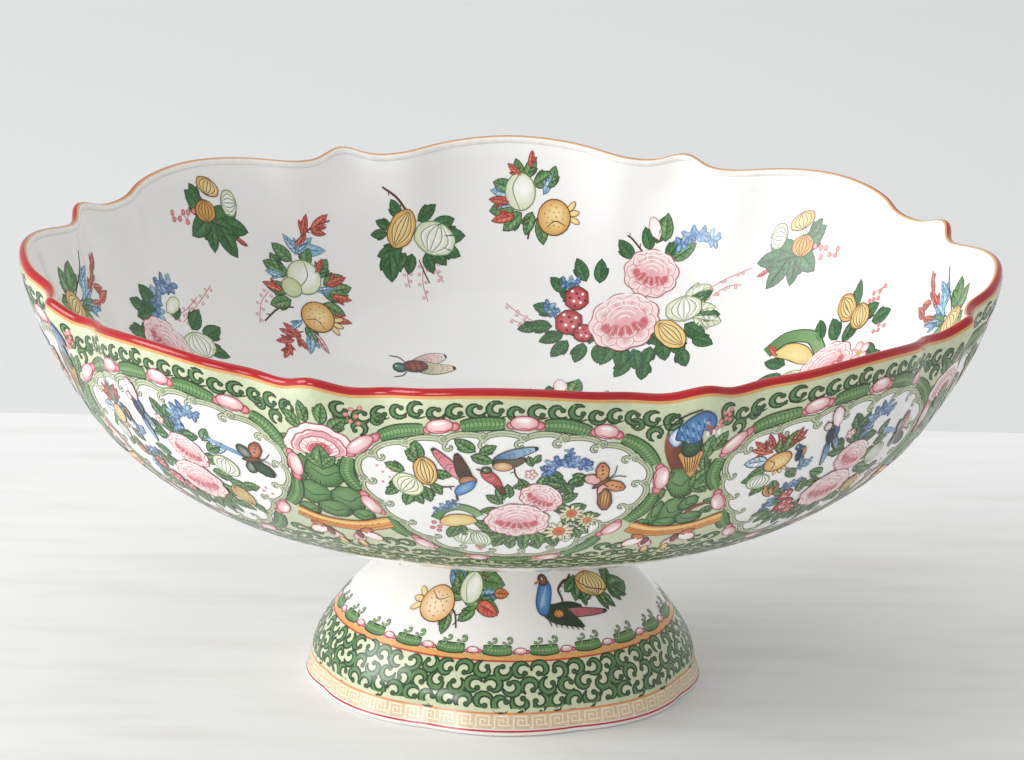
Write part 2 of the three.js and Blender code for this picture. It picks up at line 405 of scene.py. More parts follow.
# ---- Enamel work: strokes in millimetres, gathered into thin films on a skin ---------------
PINK, PALE_PINK, ROSE = linear(224, 168, 174), linear(246, 224, 220), linear(198, 84, 94)
PINK_LINE, DARK_LINE, BROWN = linear(150, 60, 75), linear(44, 52, 38), linear(96, 62, 44)
LEAF, LEAF_LIGHT, LEAF_DARK = linear(84, 130, 76), linear(140, 174, 120), linear(46, 70, 40)
BLUE, SKY, DEEP_BLUE = linear(76, 122, 172), linear(156, 190, 214), linear(40, 64, 104)
YELLOW, CREAM, ORANGE = linear(214, 166, 82), linear(240, 220, 160), linear(214, 136, 72)
PALE_FRUIT, PALE_LINE = linear(214, 222, 184), linear(110, 136, 96)
GROUND = linear(200, 207, 174)
WHITE, BERRY = linear(250, 249, 246), linear(206, 70, 78)
SCROLL, SCROLL_CORE = linear(36, 64, 36), linear(88, 126, 78)
BAND_GOLD, TAN, TAN_LINE = linear(218, 162, 94), linear(212, 190, 156), linear(238, 224, 200)
LAYER = .014
STEP_ALONG, LANE_WIDTH = 1.4, .65


def web(rings, n):
    """Faces from a middle point out over closed rings of n points."""
    pairs = [(i, (i + 1) % n) for i in range(n)]
    return [(0, 1 + i, 1 + j) for i, j in pairs] + [
        (1 + k * n + i, 1 + (k + 1) * n + i, 1 + (k + 1) * n + j, 1 + k * n + j)
        for k in range(rings - 1) for i, j in pairs]


class Film:
    """Strokes of enamel on one skin, kept until they are laid as one mesh."""
    def __init__(self, skin):
        self.skin, self.flat, self.lifts, self.tints, self.faces, self.count = skin, [], [], [], [], 0

    def add(self, flat, lift, tints, faces):
        self.flat.append(flat)
        self.lifts.append(np.full(len(flat), lift))
        self.tints.append(tints)
        self.faces.extend([tuple(self.count + i for i in face) for face in faces])
        self.count += len(flat)

    def laid(self, name, slot, material=None):
        flat, lifts = np.vstack(self.flat), np.concatenate(self.lifts)
        place, out = self.skin.lay(flat, lifts)
        corners = np.array([face[:3] for face in self.faces])
        a, b, c = (place[corners[:, i]] for i in range(3))
        wrong = np.einsum("ij,ij->i", np.cross(b - a, c - a), out[corners[:, 0]]) < 0
        faces = [face[::-1] if flip else face for face, flip in zip(self.faces, wrong)]
        mesh = bpy.data.meshes.new(name)
        mesh.from_pydata(place.tolist(), [], faces)
        tinted(mesh, np.vstack(self.tints))
        piece = bpy.data.objects.new(name, mesh)
        bpy.context.collection.objects.link(piece)
        finish_piece(piece, name, material or enamel, slot)


class Brush:
    """A place, turn and size on a film, from which strokes are made."""
    def __init__(self, film, grid=None, origin=(0, 0), lift=.12):
        self.film, self.origin, self.lift = film, np.array(origin, float), lift
        self.grid = np.eye(2) if grid is None else grid

    def at(self, x, y, turn=0, size=1, flip=False, over=0):
        cos, sin = math.cos(math.radians(turn)), math.sin(math.radians(turn))
        turned = np.array([[cos, -sin], [sin, cos]]) * size
        if flip:
            turned = turned @ np.diag([-1, 1])
        return Brush(self.film, self.grid @ turned, self.grid @ (x, y) + self.origin,
                     self.lift + over * LAYER)

    def up(self, over):
        """The same brush, so many layers higher."""
        return Brush(self.film, self.grid, self.origin, self.lift + over * LAYER)

    def spots(self, points):
        return np.asarray(points, float) @ self.grid.T + self.origin

    def dab(self, outline, middle, edge=None, line=None, width=.35, over=0, heart=None):
        """A filled shape, shaded from its heart to its edge, with an outline if asked."""
        outline = np.asarray(outline, float)
        n = len(outline)
        heart = outline.mean(0) if heart is None else np.array(heart)
        edge = middle if edge is None else edge
        away = outline - heart
        reach = np.maximum(np.hypot(away[:, 0], away[:, 1]), 1e-6)[:, None]
        fill = outline - away / reach * np.minimum(width, reach * .5) if line is not None else outline
        rings = max(2, math.ceil(reach.max() / STEP_ALONG))
        points, tints = [heart[None]], [middle[None]]
        for share in np.arange(1, rings + 1) / rings:
            points.append(heart + (fill - heart) * share)
            tints.append(np.tile(mix(middle, edge, share ** 1.6), (n, 1)))
        faces = web(rings, n)
        if line is not None:
            points += [fill, outline]
            tints += [np.tile(line, (2 * n, 1))]
            first = 1 + rings * n
            faces += [(first + i, first + n + i, first + n + (i + 1) % n,
                       first + (i + 1) % n) for i in range(n)]
        self.film.add(self.spots(np.vstack(points)), self.lift + over * LAYER, np.vstack(tints), faces)

    def stroke(self, path, width, tint, end=None, over=0, taper=0.0):
        """A line along a path; it may change tint and taper to its ends."""
        path = np.asarray(path, float)
        n = len(path)
        cuts = np.ceil(np.maximum(np.diff(steps_along(path)), .1) / STEP_ALONG).astype(int)
        spots = np.concatenate([np.linspace(k, k + 1, cut, endpoint=False) for k,
                                cut in enumerate(cuts)] + [[n - 1]])
        path = np.stack([np.interp(spots, np.arange(n), path[:, i]) for i in (0, 1)], 1)
        if np.ndim(width):
            width = np.interp(spots, np.arange(n), width)
        share = spots[:, None] / (n - 1)
        n = len(path)
        run = np.gradient(path, axis=0)
        side = np.stack([-run[:, 1], run[:, 0]], 1) / np.maximum(np.hypot(*run.T), 1e-9)[:, None]
        wide = np.asarray(width, float).reshape(-1, 1) * np.ones((n, 1)) / 2
        if taper:
            wide = wide * (1 - taper + taper * np.sin(np.pi * share) ** .7)
        tints = mix(tint, tint if end is None else end, share)
        lanes = 1 + math.ceil(wide.max() / LANE_WIDTH)
        across = np.linspace(1, -1, lanes)
        faces = [(k * n + i, k * n + i + 1, (k + 1) * n + i + 1, (k + 1) * n + i)
                 for k in range(lanes - 1) for i in range(n - 1)]
        self.film.add(self.spots(np.vstack([path + side * wide * at for at in across])),
                      self.lift + over * LAYER, np.tile(tints, (lanes, 1)), faces)


def ring(across, down, points=12, x=0.0, y=0.0, ripple=0.0, waves=0):
    turn = np.linspace(0, 2 * np.pi, points, endpoint=False)
    reach = 1 + ripple * (np.abs(np.sin(waves * turn / 2)) - .5)
    return np.stack([x + across / 2 * reach * np.cos(turn), y + down / 2 * reach * np.sin(turn)], 1)


def smooth(points, steps=4, closed=False):
    """A soft curve through the points."""
    points = np.asarray(points, float)
    n = len(points)
    get = (lambda i: points[i % n]) if closed else (lambda i: points[min(max(i, 0), n - 1)])
    path = []
    for i in range(n if closed else n - 1):
        p, q, r, s = get(i - 1), get(i), get(i + 1), get(i + 2)
        for t in np.linspace(0, 1, steps, endpoint=False):
            path.append(.5 * (2 * q + (r - p) * t + (2 * p - 5 * q + 4 * r - s) * t * t
                              + (3 * q - p - 3 * r + s) * t ** 3))
    if not closed:
        path.append(points[-1])
    return np.array(path)


def wobble(tint, amount=.12):
    return tint * (1 + rng.uniform(-amount, amount))


# ---- Flowers, fruit and birds ----------------------------------------------------------------
def leaf(b, x, y, length, turn, broad=.56, body=LEAF, light=LEAF_LIGHT, line=LEAF_DARK):
    b = b.at(x, y, turn).at(-length * .28, 0)
    length *= 1.16
    share = np.linspace(0, 1, 7)
    half = broad * length / 2 * np.sin(np.pi * share ** .84) ** .68
    top = np.stack([share * length, -half], 1)
    low = np.stack([share * length, half], 1)[1:-1][::-1]
    body, light = wobble(body), wobble(light)
    b.dab(np.vstack([top, low]), body, mix(body, light, .35), line, min(.38, length * .06),
          heart=(length * .45, 0))
    inner = np.vstack([top * (.92, .72) + (length * .04, 0), [[length * .9, 0], [length * .08, 0]]])
    b.dab(inner, light, body, over=1, heart=(length * .5, -half.max() * .35))
    b.stroke([(0, 0), (length * .5, length * .01), (length * .92, 0)], .3, line, over=2, taper=.5)
    if length > 4.5:
        for at in (.3, .5, .68):
            for s in (-1, 1):
                b.stroke([(length * at, 0), (length * (at + .14), s * np.interp(at + .1, share, half) * .8)],
                         .2, line, over=2)


def sprig(b, leaves, **how):
    for k, (x, y, length, turn) in enumerate(leaves):
        lean = 38 if k % 2 else -38
        leaf(b, x, y, length * .68, turn + lean, **how)
        leaf(b.up(1), x, y, length, turn, **how)


def twig(b, points, width=.6, thorns=True):
    path = smooth(points, 4)
    b.stroke(path, width, BROWN, mix(BROWN, DARK_LINE, .5), over=1, taper=.3)
    if thorns:
        for i in range(2, len(path) - 1, 4):
            run = path[i + 1] - path[i - 1]
            side = np.array([-run[1], run[0]]) / np.hypot(*run) * (1 if i % 8 else -1)
            b.stroke([path[i], path[i] + side * 1.3 + run * .3], .4, BROWN, over=1, taper=.3)


def berries(b, spots, size=1.1, tint=BERRY, stems=False):
    for i, (x, y) in enumerate(spots):
        b.dab(ring(size, size, 6, x, y), mix(tint, WHITE, .35), wobble(tint), over=2)
        if stems and i:
            b.stroke([spots[i - 1], (x, y)], .22, tint, over=1)


def petal(b, x, y, length, turn, broad, middle, edge, line, over=0):
    b = b.at(x, y, turn, over=over)
    spread = np.radians([-180, -120, -78, -46, -18, 18, 46, 78, 120])
    outline = np.stack([length * (.5 + .5 * np.cos(spread)), broad / 2 * np.sin(spread)], 1)
    outline[:, 0] += .05 * length * np.cos(spread * 5)
    b.dab(outline, middle, edge, line, .3, heart=(length * .4, 0))


def peony(b, x, y, across, down, turn=0):
    """A full flower seen from the front, ruffled round a white-edged heart."""
    middle, edge, line = ROSE, PALE_PINK, linear(176, 96, 108)
    b = b.at(x, y, turn)
    size = across / 20
    blush = mix(PINK, edge, .35)
    b.dab(ring(across, down, 44, ripple=.1, waves=9), blush, edge, line, .4)
    for i in range(9):
        angle = i * 40 + 12
        cos, sin = math.cos(math.radians(angle)), math.sin(math.radians(angle))
        petal(b, across * .2 * cos, down * .2 * sin, across * .26, angle, across * .26,
              mix(blush, PINK, .5), mix(edge, WHITE, .3), mix(line, PINK, .45), over=1)
        b.stroke([(across * .25 * cos, down * .25 * sin), (across * .4 * cos, down * .4 * sin)],
                 .25, mix(PINK, ROSE, .4), over=2, taper=.6)
    b.dab(ring(across * .62, down * .58, 28, ripple=.14, waves=7), PINK, mix(PINK, PALE_PINK, .6),
          mix(line, PINK, .3), .3, over=3)
    for k in range(5):
        reach = .1 + .09 * k
        sweep = np.radians(np.linspace(-158, -22, 9))
        b.stroke(np.stack([across * reach * np.cos(sweep), -down * .02 + down * reach * np.sin(sweep)], 1),
                 .5 * size ** .5, mix(WHITE, PALE_PINK, .3), over=4, taper=.7)
    for k in range(9):
        at = (k - 4) / 4
        b.dab(ring(across * .14, down * .17, 8, at * across * .27,
                   down * (.13 + .05 * (k % 2) - .08 * abs(at)), .25, 5), middle, mix(middle, PINK, .55),
              over=5)
    for k in range(11):
        at = (k - 5) / 5
        b.stroke([(at * across * .2, down * .06), (at * across * .3, down * (.27 - .1 * at * at))],
                 .35 * size ** .5, mix(ROSE, WHITE, .55 if k % 2 else 0), over=6, taper=.6)


def fan_peony(b, x, y, across):
    """A peony seen from its side, opening upwards in ruffled rows."""
    b = b.at(x, y)
    for row, (reach, tint) in enumerate(((.5, PALE_PINK), (.39, PINK), (.28, PALE_PINK), (.18, ROSE))):
        sweep = np.radians(np.linspace(-188, 8, 22))
        wave = reach * (1 + .07 * np.abs(np.sin(np.linspace(0, 6 * np.pi, 22))))
        rim_line = np.stack([across * wave * np.cos(sweep), across * .82 * wave * np.sin(sweep)], 1)
        b.dab(np.vstack([rim_line, [[across * .05, across * .16], [-across * .05, across * .16]]]),
              mix(tint, ROSE, .25), tint, PINK_LINE, .35, over=row, heart=(0, 0))
        b.stroke(rim_line * .9, .4, WHITE, over=row, taper=.5)
    for at in np.radians(np.linspace(-170, -10, 9)):
        b.stroke([(0, across * .05), (across * .4 * math.cos(at), across * .26 * math.sin(at))], .25,
                 mix(PINK, ROSE, .5), over=5, taper=.7)


def segmented(b, x, y, across, down, turn, body, light, line, ribs=2):
    """A ribbed fruit, its ribs meeting at stalk and tip."""
    b = b.at(x, y, turn)
    b.dab(ring(across, down, 20, ripple=.05, waves=6), mix(light, body, .3), body, line, .38)
    for k in range(-ribs, ribs + 1):
        bow = k / (ribs + 1) * across * .5
        sweep = np.linspace(-1, 1, 7)
        path = np.stack([bow * np.cos(sweep * 1.45), sweep * down * .44], 1)
        b.stroke(path + (across * .045, 0), across * .05, light, over=1, taper=.8)
        b.stroke(path, .3, line, over=2, taper=.5)


def pomegranate(b, x, y, across, down, turn, body=YELLOW, light=CREAM):
    """The crown points to the brush's +x."""
    b = b.at(x, y, turn)
    for angle in (-34, 0, 34):
        petal(b, across * .42, math.sin(math.radians(angle)) * down * .15, across * .36, angle, across * .17,
              CREAM, mix(CREAM, YELLOW, .4), BROWN)
    b.dab(ring(across, down, 20), light, mix(body, ORANGE, .3), BROWN, .4, over=1,
          heart=(across * .08, -down * .06))
    for k in range(16):
        reach, angle = math.sqrt((k + .5) / 16) * .34, k * 2.4
        b.dab(ring(across * .05, across * .05, 5, across * reach * math.cos(angle),
                   down * reach * math.sin(angle)), ORANGE if k % 3 else ROSE, over=2)
    b.stroke(smooth([(-across * .3, down * .25), (0, down * .1), (across * .3, down * .3)], 3), .35, BROWN,
             over=3, taper=.6)


def hyacinth(b, points, size=1.0, tint=BLUE):
    """A ragged blue flower head along an arched stem."""
    path = smooth(points, 4)
    for i, (x, y) in enumerate(path):
        for k in range(3):
            angle = i * 77 + k * 125
            shade = (mix(tint, SKY, .7), tint, mix(tint, DEEP_BLUE, .35))[(i + k) % 3]
            petal(b, x, y, 2.3 * size, angle, 1.3 * size, mix(shade, WHITE, .25), shade,
                  mix(shade, DEEP_BLUE, .45), over=k)


def daisy(b, x, y, reach, heart_tint=ORANGE):
    b, count = b.at(x, y), 11
    for k in range(count):
        petal(b, 0, 0, reach, k * 360 / count + 9, reach * .32, linear(232, 214, 178), linear(214, 220, 188),
              mix(BROWN, CREAM, .2))
    b.dab(ring(reach * .8, reach * .95, 10), BERRY, heart_tint, BROWN, .25, over=1)


def blossom(b, x, y, reach):
    count = 5
    for k in range(count):
        petal(b, x, y, reach, k * 360 / count, reach * .8, WHITE, PINK, mix(PINK, PINK_LINE, .5))
    b.dab(ring(reach * .5, reach * .5, 6, x, y), YELLOW, over=1)


def feathers(b, points, width, tint, tip):
    """A wing or tail: a tapering stroke with feather lines across it."""
    line, barbs = DARK_LINE, 7
    path = smooth(points, 5)
    share = np.linspace(0, 1, len(path))
    wide = width * np.sin(np.pi * (.06 + .9 * share) ** .75) ** .8
    b.stroke(path, wide + .45, line)
    b.stroke(path[1:-1], np.maximum(wide[1:-1] - .15, .1), tint, tip, over=1)
    run = path[-1] - path[0]
    run /= np.hypot(*run)
    side = np.array([-run[1], run[0]])
    for k in range(1, barbs):
        at = path[int(k / barbs * (len(path) - 1))]
        reach = np.interp(k / barbs, share, wide) / 2
        b.stroke([at - side * reach * .9 - run * reach * .5, at + run * .2,
                  at + side * reach * .9 - run * reach * .5], .25, mix(line, tip, .3), over=2, taper=.4)


def bird(b, x, y, size, turn, body, wing, tail, belly, head):
    """A small bird looking along the brush's +x, about ten units long."""
    b = b.at(x, y, turn, size)
    feathers(b, [(-2.5, .3), (-5.5, 1), (-9, 1.6)], 2.0, tail, mix(tail, WHITE, .35))
    b.dab(ring(7, 4.4, 16), mix(body, WHITE, .18), body, DARK_LINE, .35, over=3)
    b.dab(ring(4.6, 2.2, 12, .2, 1), belly, mix(belly, body, .5), over=4)
    b.dab(ring(3.4, 3.1, 12, 3.6, -1.9), head, mix(head, DARK_LINE, .25), DARK_LINE, .3, over=5)
    b.stroke([(5, -2), (6.2, -1.8)], .7, DARK_LINE, over=5, taper=.7)
    b.dab(ring(.9, .9, 6, 4.1, -2.2), DARK_LINE, WHITE, over=6)
    feathers(b.up(5), [(1.6, -.6), (-1.2, -1.3), (-4.6, -1.6)], 2.6, wing, mix(wing, DARK_LINE, .35))


def butterfly(b, x, y, size, turn, upper, lower, spot=BERRY):
    b = b.at(x, y, turn, size)
    for s in (-1, 1):
        petal(b, 0, s * .3, 5.6, s * 58, 3.4, mix(upper, CREAM, .4), upper, DARK_LINE)
        petal(b, -.4, s * .3, 4.4, s * 118, 3.0, mix(lower, WHITE, .3), lower, DARK_LINE)
        for reach in (2.2, 3.3, 4.3):
            at = math.radians(s * 58)
            b.dab(ring(.8, .6, 6, reach * math.cos(at), s * .3 + reach * math.sin(at)), spot, DARK_LINE,
                  over=1)
        b.stroke(smooth([(2, 0), (3.6, s * .6), (5, s * 2)], 3), .25, DARK_LINE, over=2)
    b.dab(ring(5.4, 1.3, 10, -.4, 0), mix(BROWN, ORANGE, .3), DARK_LINE, over=2)


def lychee(b, x, y, size):
    b.dab(ring(size, size, 14, x, y, .1, 8), mix(BERRY, WHITE, .12), linear(168, 34, 40), DARK_LINE, .3,
          over=3)
    for k in range(9):
        angle, reach = k * 2.4, size * .38 * math.sqrt((k + .5) / 9)
        b.dab(ring(size * .13, size * .13, 5, x + reach * math.cos(angle), y + reach * math.sin(angle)),
              WHITE if k % 2 else linear(120, 20, 30), over=4)


# ---- Borders ----------------------------------------------------------------------------------
def scroll(b, x, y, turn, size=1.0, flip=False):
    """A curled C with a round eye."""
    b = b.at(x, y, turn, size, flip)
    share = np.linspace(0, 1, 12)
    angle, reach = np.radians(20 + 300 * share), 2.15 - 1.15 * share ** 1.3
    path = np.stack([reach * np.cos(angle), reach * np.sin(angle)], 1)
    wide = .5 + 1.35 * np.sin(np.pi * np.clip(share * 1.05, 0, 1)) ** .8
    b.stroke(path, wide, SCROLL)
    b.stroke(path[1:-1], np.maximum(wide[1:-1] - .95, .1), SCROLL_CORE, over=1)
    b.dab(ring(1.5, 1.5, 8, *path[-1]), mix(SCROLL, SCROLL_CORE, .35), SCROLL, over=1)


def curl(b, x, y, turn, size, flip, tint, line):
    b = b.at(x, y, turn, size, flip)
    share = np.linspace(0, 1, 8)
    angle, reach = np.radians(270 * share), 1.2 - .7 * share
    path = np.stack([reach * np.cos(angle) - 1.2, reach * np.sin(angle)], 1)
    b.stroke(path, .95, line, over=1)
    b.stroke(path, .5, tint, over=2)
    b.dab(ring(.95, .95, 6, *path[-1]), tint, line, over=3)


def bud(b, x, y, length, turn, thick=5.2):
    b = b.at(x, y, turn, over=4)
    b.dab(ring(length * .3, thick * .56, 12, -length * .38, thick * .16), PINK, mix(PINK, ROSE, .6),
          PINK_LINE, .35)
    b.dab(ring(length * .36, thick * .62, 12, length * .36, thick * .12), PINK, ROSE, PINK_LINE, .35)
    b.dab(ring(length * .8, thick, 18, -length * .04), PALE_PINK, mix(PINK, ROSE, .12), PINK_LINE, .35,
          heart=(-length * .05, -thick * .18), over=1)
    b.dab(ring(length * .44, thick * .28, 10, -length * .06, -thick * .2), WHITE, PALE_PINK, over=2)
    b.stroke([(-length * .2, thick * .3), (length * .1, thick * .36), (length * .28, thick * .2)], .4,
             ROSE, over=2, taper=.7)


def bar(b, points, thick=4.4):
    path = smooth(points, 5)
    share = np.linspace(0, 1, len(path))
    wide = thick * (.62 + .38 * np.sin(np.pi * share) ** .5)
    b.stroke(path, wide + .7, LEAF_DARK, over=1)
    b.stroke(path, wide - .35, LEAF, mix(LEAF, LEAF_LIGHT, .3), over=2)
    b.stroke(path, wide * .28, mix(LEAF_LIGHT, LEAF, .25), over=3, taper=.5)
    along = steps_along(path)
    for spot in np.arange(.9, along[-1] - .5, 1.15):
        at = np.array([np.interp(spot, along, path[:, i]) for i in (0, 1)])
        ahead = np.array([np.interp(spot + .3, along, path[:, i]) for i in (0, 1)])
        run = (ahead - at) / .3
        side = np.array([-run[1], run[0]])
        reach = np.interp(spot, along, wide) / 2 - .25
        b.stroke([at - side * reach, at + run * .5, at + side * reach], .24, mix(LEAF, LEAF_DARK, .6),
                 over=4, taper=.4)


def inset(path, by):
    """A closed path moved towards its inside; the path runs clockwise as it is seen."""
    run = np.roll(path, -1, 0) - np.roll(path, 1, 0)
    side = np.stack([-run[:, 1], run[:, 0]], 1) / np.hypot(*run.T)[:, None]
    return path + side * by


def panel_frame(b, fields):
    """White field, scalloped inner line, and pink buds between ribbed green bars."""
    buds = [(5, 9, 10, 0), (28, 10.9, 10, 10), (46, 28.6, 12.5, 88), (34, 52, 10.5, 128),
            (15, 71, 11, 164), (-10, 72, 9, 186), (-28, 62.5, 11, 228), (-42, 42, 12, 244),
            (-42, 17, 12.5, 322), (-18, 10.1, 10, 354)]
    bars = [[(10, 9.5), (16, 9.3), (23, 10.9)], [(33, 13.2), (39, 16.5), (43.6, 22.6)],
            [(45, 35), (43, 42), (38.5, 48)], [(30.5, 56.5), (27, 63), (20.5, 68.5)],
            [(9.5, 72.4), (2, 73.6), (-6, 73)], [(-14.5, 71), (-19, 69.4), (-24, 66.3)],
            [(-32, 58.5), (-35.5, 54), (-38.3, 48.3)], [(-44.6, 35.6), (-47.4, 29), (-46.2, 22.4)],
            [(-36.6, 14.2), (-31, 12.3), (-23, 11.1)], [(-12.5, 10.3), (-7, 9.5), (-.5, 9.4)]]
    middle_line = [(5, 9.5), (16, 9.3), (28, 11.4), (39, 16.1), (44, 22), (46, 28.6), (45, 36), (42, 44),
                   (36, 51), (30, 58), (24, 66), (15, 71), (2, 73), (-10, 72), (-20, 69), (-28, 62),
                   (-34, 56), (-39, 49), (-43, 42), (-46.5, 34), (-47, 26.6), (-44.6, 19.2), (-37, 14.4),
                   (-28, 11.7), (-18, 10.5), (-7, 9.5)]
    path = smooth(middle_line, 5, closed=True)
    edge = inset(path, 2.2)
    heart = np.array([0., 39.])
    rings = 16
    shares = np.linspace(0, 1, rings + 1)[1:]
    flat = np.vstack([heart[None]] + [heart + (edge - heart) * share for share in shares])
    fields.add(b.spots(flat), .1, np.tile(WHITE, (len(flat), 1)), web(rings, len(edge)))
    inner = inset(path, 3.0)
    along = steps_along(np.vstack([inner, inner[:1]]))
    count = 20
    for k in range(count):
        spots = (k + np.linspace(0, 1, 9)) / count * along[-1]
        on = np.stack([np.interp(spots, along, np.append(inner[:, i], inner[0, i])) for i in (0, 1)], 1)
        toward = heart - on.mean(0)
        toward /= np.hypot(*toward)
        dip = 2.1 * (1 - np.sin(np.pi * np.linspace(0, 1, 9)) ** .6)
        line = on + toward * dip[:, None]
        b.stroke(line, 2.2, PALE_LINE * .5)
        b.stroke(line, 1.55, GROUND * .9, over=1)
        b.stroke(line, .35, mix(PALE_LINE, GROUND, .3), over=2)
        out_angle = math.degrees(math.atan2(toward[1], toward[0]))
        for s, end in ((1, line[0]), (-1, line[-1])):
            run = (line[1] - line[0]) if s > 0 else (line[-2] - line[-1])
            place = end + toward * .9 + run / np.hypot(*run) * .35
            curl(b, place[0], place[1], out_angle, 1.3, s > 0, GROUND * .9, PALE_LINE * .5)
    for points in bars:
        bar(b, points)
    for x, y, length, turn in buds:
        bud(b, x, y, length, turn)


# ---- Panels -----------------------------------------------------------------------------------
def bird_panel(b):
    low, mid, high, top = b.up(5), b.up(9), b.up(14), b.up(21)
    twig(low, [(-22, 31), (-18.5, 32.3), (-15, 32)])
    berries(low, [(-38, 25), (-36.5, 27.5), (-35, 25.5), (-34.5, 29.5), (-36.8, 31.5), (-33.5, 27)], .8)
    sprig(low, [(-25, 21, 7, 262), (-32, 31, 6, 118), (-29, 36, 6.5, 108), (-27, 36, 5.5, 65),
                (-25, 22, 6, 218), (-20, 27, 5.5, 12), (-23.5, 34, 6, 80), (-31, 26, 6, 205),
                (-21, 32, 5, 60), (-33, 34, 5.5, 140)])
    segmented(mid, -29, 32, 10.5, 8.6, 38, PALE_FRUIT, mix(WHITE, CREAM, .3), PALE_LINE)
    segmented(mid.up(3), -23.2, 26.3, 7.4, 11, -8, YELLOW, CREAM, BROWN)
    sprig(low, [(-10, 18, 6.5, 218), (-6.5, 19, 5, 330), (-8.5, 21, 6, 20)])
    feathers(high, [(-12, 29), (-16.5, 23.5), (-20.8, 17.6)], 3.6, linear(232, 160, 166),
             linear(206, 110, 122))
    feathers(high.up(2), [(-10.6, 30.5), (-12.6, 25), (-14, 19.4)], 3.8, linear(70, 66, 60), BROWN)
    high.up(4).dab(ring(5.4, 4.2, 14, -11, 29.6), linear(206, 152, 112), linear(158, 108, 78), DARK_LINE, .3)
    high.up(6).dab(smooth([(-8.8, 29.4), (-9.4, 32.6), (-13, 35.4), (-15, 35), (-14.6, 32.4), (-12, 30.2)],
                          3, True), linear(136, 176, 212), linear(70, 124, 180), DEEP_BLUE, .3)
    high.up(8).stroke([(-14.6, 35), (-14.2, 38)], .8, BROWN, taper=.5)
    feathers(high, [(-3.4, 22.4), (2, 19.6), (8.6, 17.2)], 3.4, mix(BLUE, DEEP_BLUE, .3), SKY)
    feathers(high.up(2), [(-4, 22.6), (1, 23), (5.4, 21)], 3.2, linear(70, 78, 60), linear(124, 104, 80))
    high.up(4).dab(ring(6, 3.6, 14, -1, 24), linear(232, 200, 158), linear(196, 146, 106), BROWN, .3)
    feathers(high.up(5), [(-5, 27), (-3, 30), (-.2, 35)], 2.4, linear(190, 70, 74), BROWN)
    high.up(6).dab(smooth([(-7.4, 25.6), (-5, 25), (-2, 28.4), (-1.2, 31.6), (-3.8, 31), (-6.6, 28.6)], 3,
                          True), linear(226, 128, 128), linear(192, 60, 68), BROWN, .3)
    high.up(8).dab(ring(3.2, 2.8, 12, -5.6, 25.4), linear(96, 136, 92), LEAF_DARK, DARK_LINE, .3)
    high.up(9).dab(ring(.8, .8, 6, -6, 25.2), WHITE, DARK_LINE)
    high.up(8).stroke([(-7, 25.6), (-8.6, 25)], .6, DARK_LINE, taper=.6)
    twig(low, [(2.2, 24.5), (2.8, 27.5), (5, 30)], .5)
    blossom(mid, 7, 26.8, 2.0)
    sprig(low, [(7, 23, 3.6, 250), (8, 22, 3.4, 300), (5, 31, 4, 160)])
    sprig(low, [(16, 30, 6.5, 190), (19, 30, 6, 330), (15, 28, 6, 215), (20, 27, 5, 20), (17, 31, 5.5, 60)],
          body=linear(52, 104, 66))
    hyacinth(mid, [(11.5, 25.5), (13, 22.5), (17, 21.4), (21, 22.2), (22.8, 23)], 1.12, linear(62, 112, 176))
    hyacinth(mid, [(17.6, 21), (17.4, 18)], .75, linear(62, 112, 176))
    butterfly(top, 28.3, 29.4, 1.35, 322, linear(196, 118, 72), linear(226, 160, 156))
    petal(top, 29, 32, 10, 82, 5, linear(226, 178, 108), linear(110, 60, 34), DARK_LINE, over=2)
    for k in range(4):
        top.stroke([(28.2 + k * 1.0, 34), (28.6 + k * .9, 40)], .35, linear(120, 66, 38), over=4, taper=.5)
    sprig(low, [(1, 35, 5, 262), (-2, 38, 5.5, 215), (-3, 42, 5.5, 175), (15, 40, 6.5, 18), (17, 37, 6, 325),
                (10, 31, 5.5, 290), (6, 32, 5, 235), (-1, 36, 5, 245), (13, 34, 5, 340), (20, 40, 5, 350)])
    peony(high.up(-3), 10.4, 36.2, 13.5, 11, 32)
    peony(high.up(7), 3.6, 46.6, 20, 15.6)
    sprig(low, [(-4, 52, 6, 200), (-2, 54, 7, 150), (2, 55, 7, 118), (6, 55, 7.4, 92), (10, 54.5, 8, 70),
                (14, 53, 7, 50), (-2, 58, 6, 112), (2, 59, 5.6, 96), (6, 59, 6, 86), (10, 59, 6, 74),
                (15, 57, 6.4, 66), (-6, 50, 6, 215), (19, 46, 8, 30), (22, 47, 7.5, 8), (22, 50, 7.5, 38),
                (20, 42, 6, 330), (24, 45, 6.5, 350), (14, 55, 8, 62), (0, 56, 6.4, 135), (22, 52, 6, 60)])
    sprig(low, [(20, 49, 9, 38), (23, 46, 8, 62), (19, 52, 8.5, 80)], body=PALE_FRUIT, light=WHITE)
    daisy(mid, 20.2, 43, 4.3)
    daisy(mid, 25.6, 46.5, 3.6, YELLOW)
    daisy(high, 17.2, 52.2, 5.4)
    low.stroke(smooth([(-22, 47), (-19, 42.6), (-14.5, 40.8), (-10, 42.4), (-8, 45)], 4), 3.2, DARK_LINE)
    low.stroke(smooth([(-22, 47), (-19, 42.6), (-14.5, 40.8), (-10, 42.4), (-8, 45)], 4), 2.5, LEAF,
               LEAF_LIGHT, over=1)
    hyacinth(low, [(-21, 43), (-18, 40.4), (-15.5, 39.4)], .9)
    mid.dab(smooth([(-20.6, 49.5), (-20, 46.5), (-16, 44.2), (-11, 44.6), (-8.6, 47.4), (-12, 49.6),
                    (-17, 50.8)], 3, True), CREAM, linear(222, 190, 110), BROWN, .35)
    berries(mid, [(-22.6, 49), (-21, 51.2), (-23.4, 52), (-21.4, 53.4)], 1.9, linear(192, 60, 66))
    segmented(mid, -12.8, 56.6, 8.4, 9.8, 18, PALE_FRUIT, WHITE, PALE_LINE, 2)
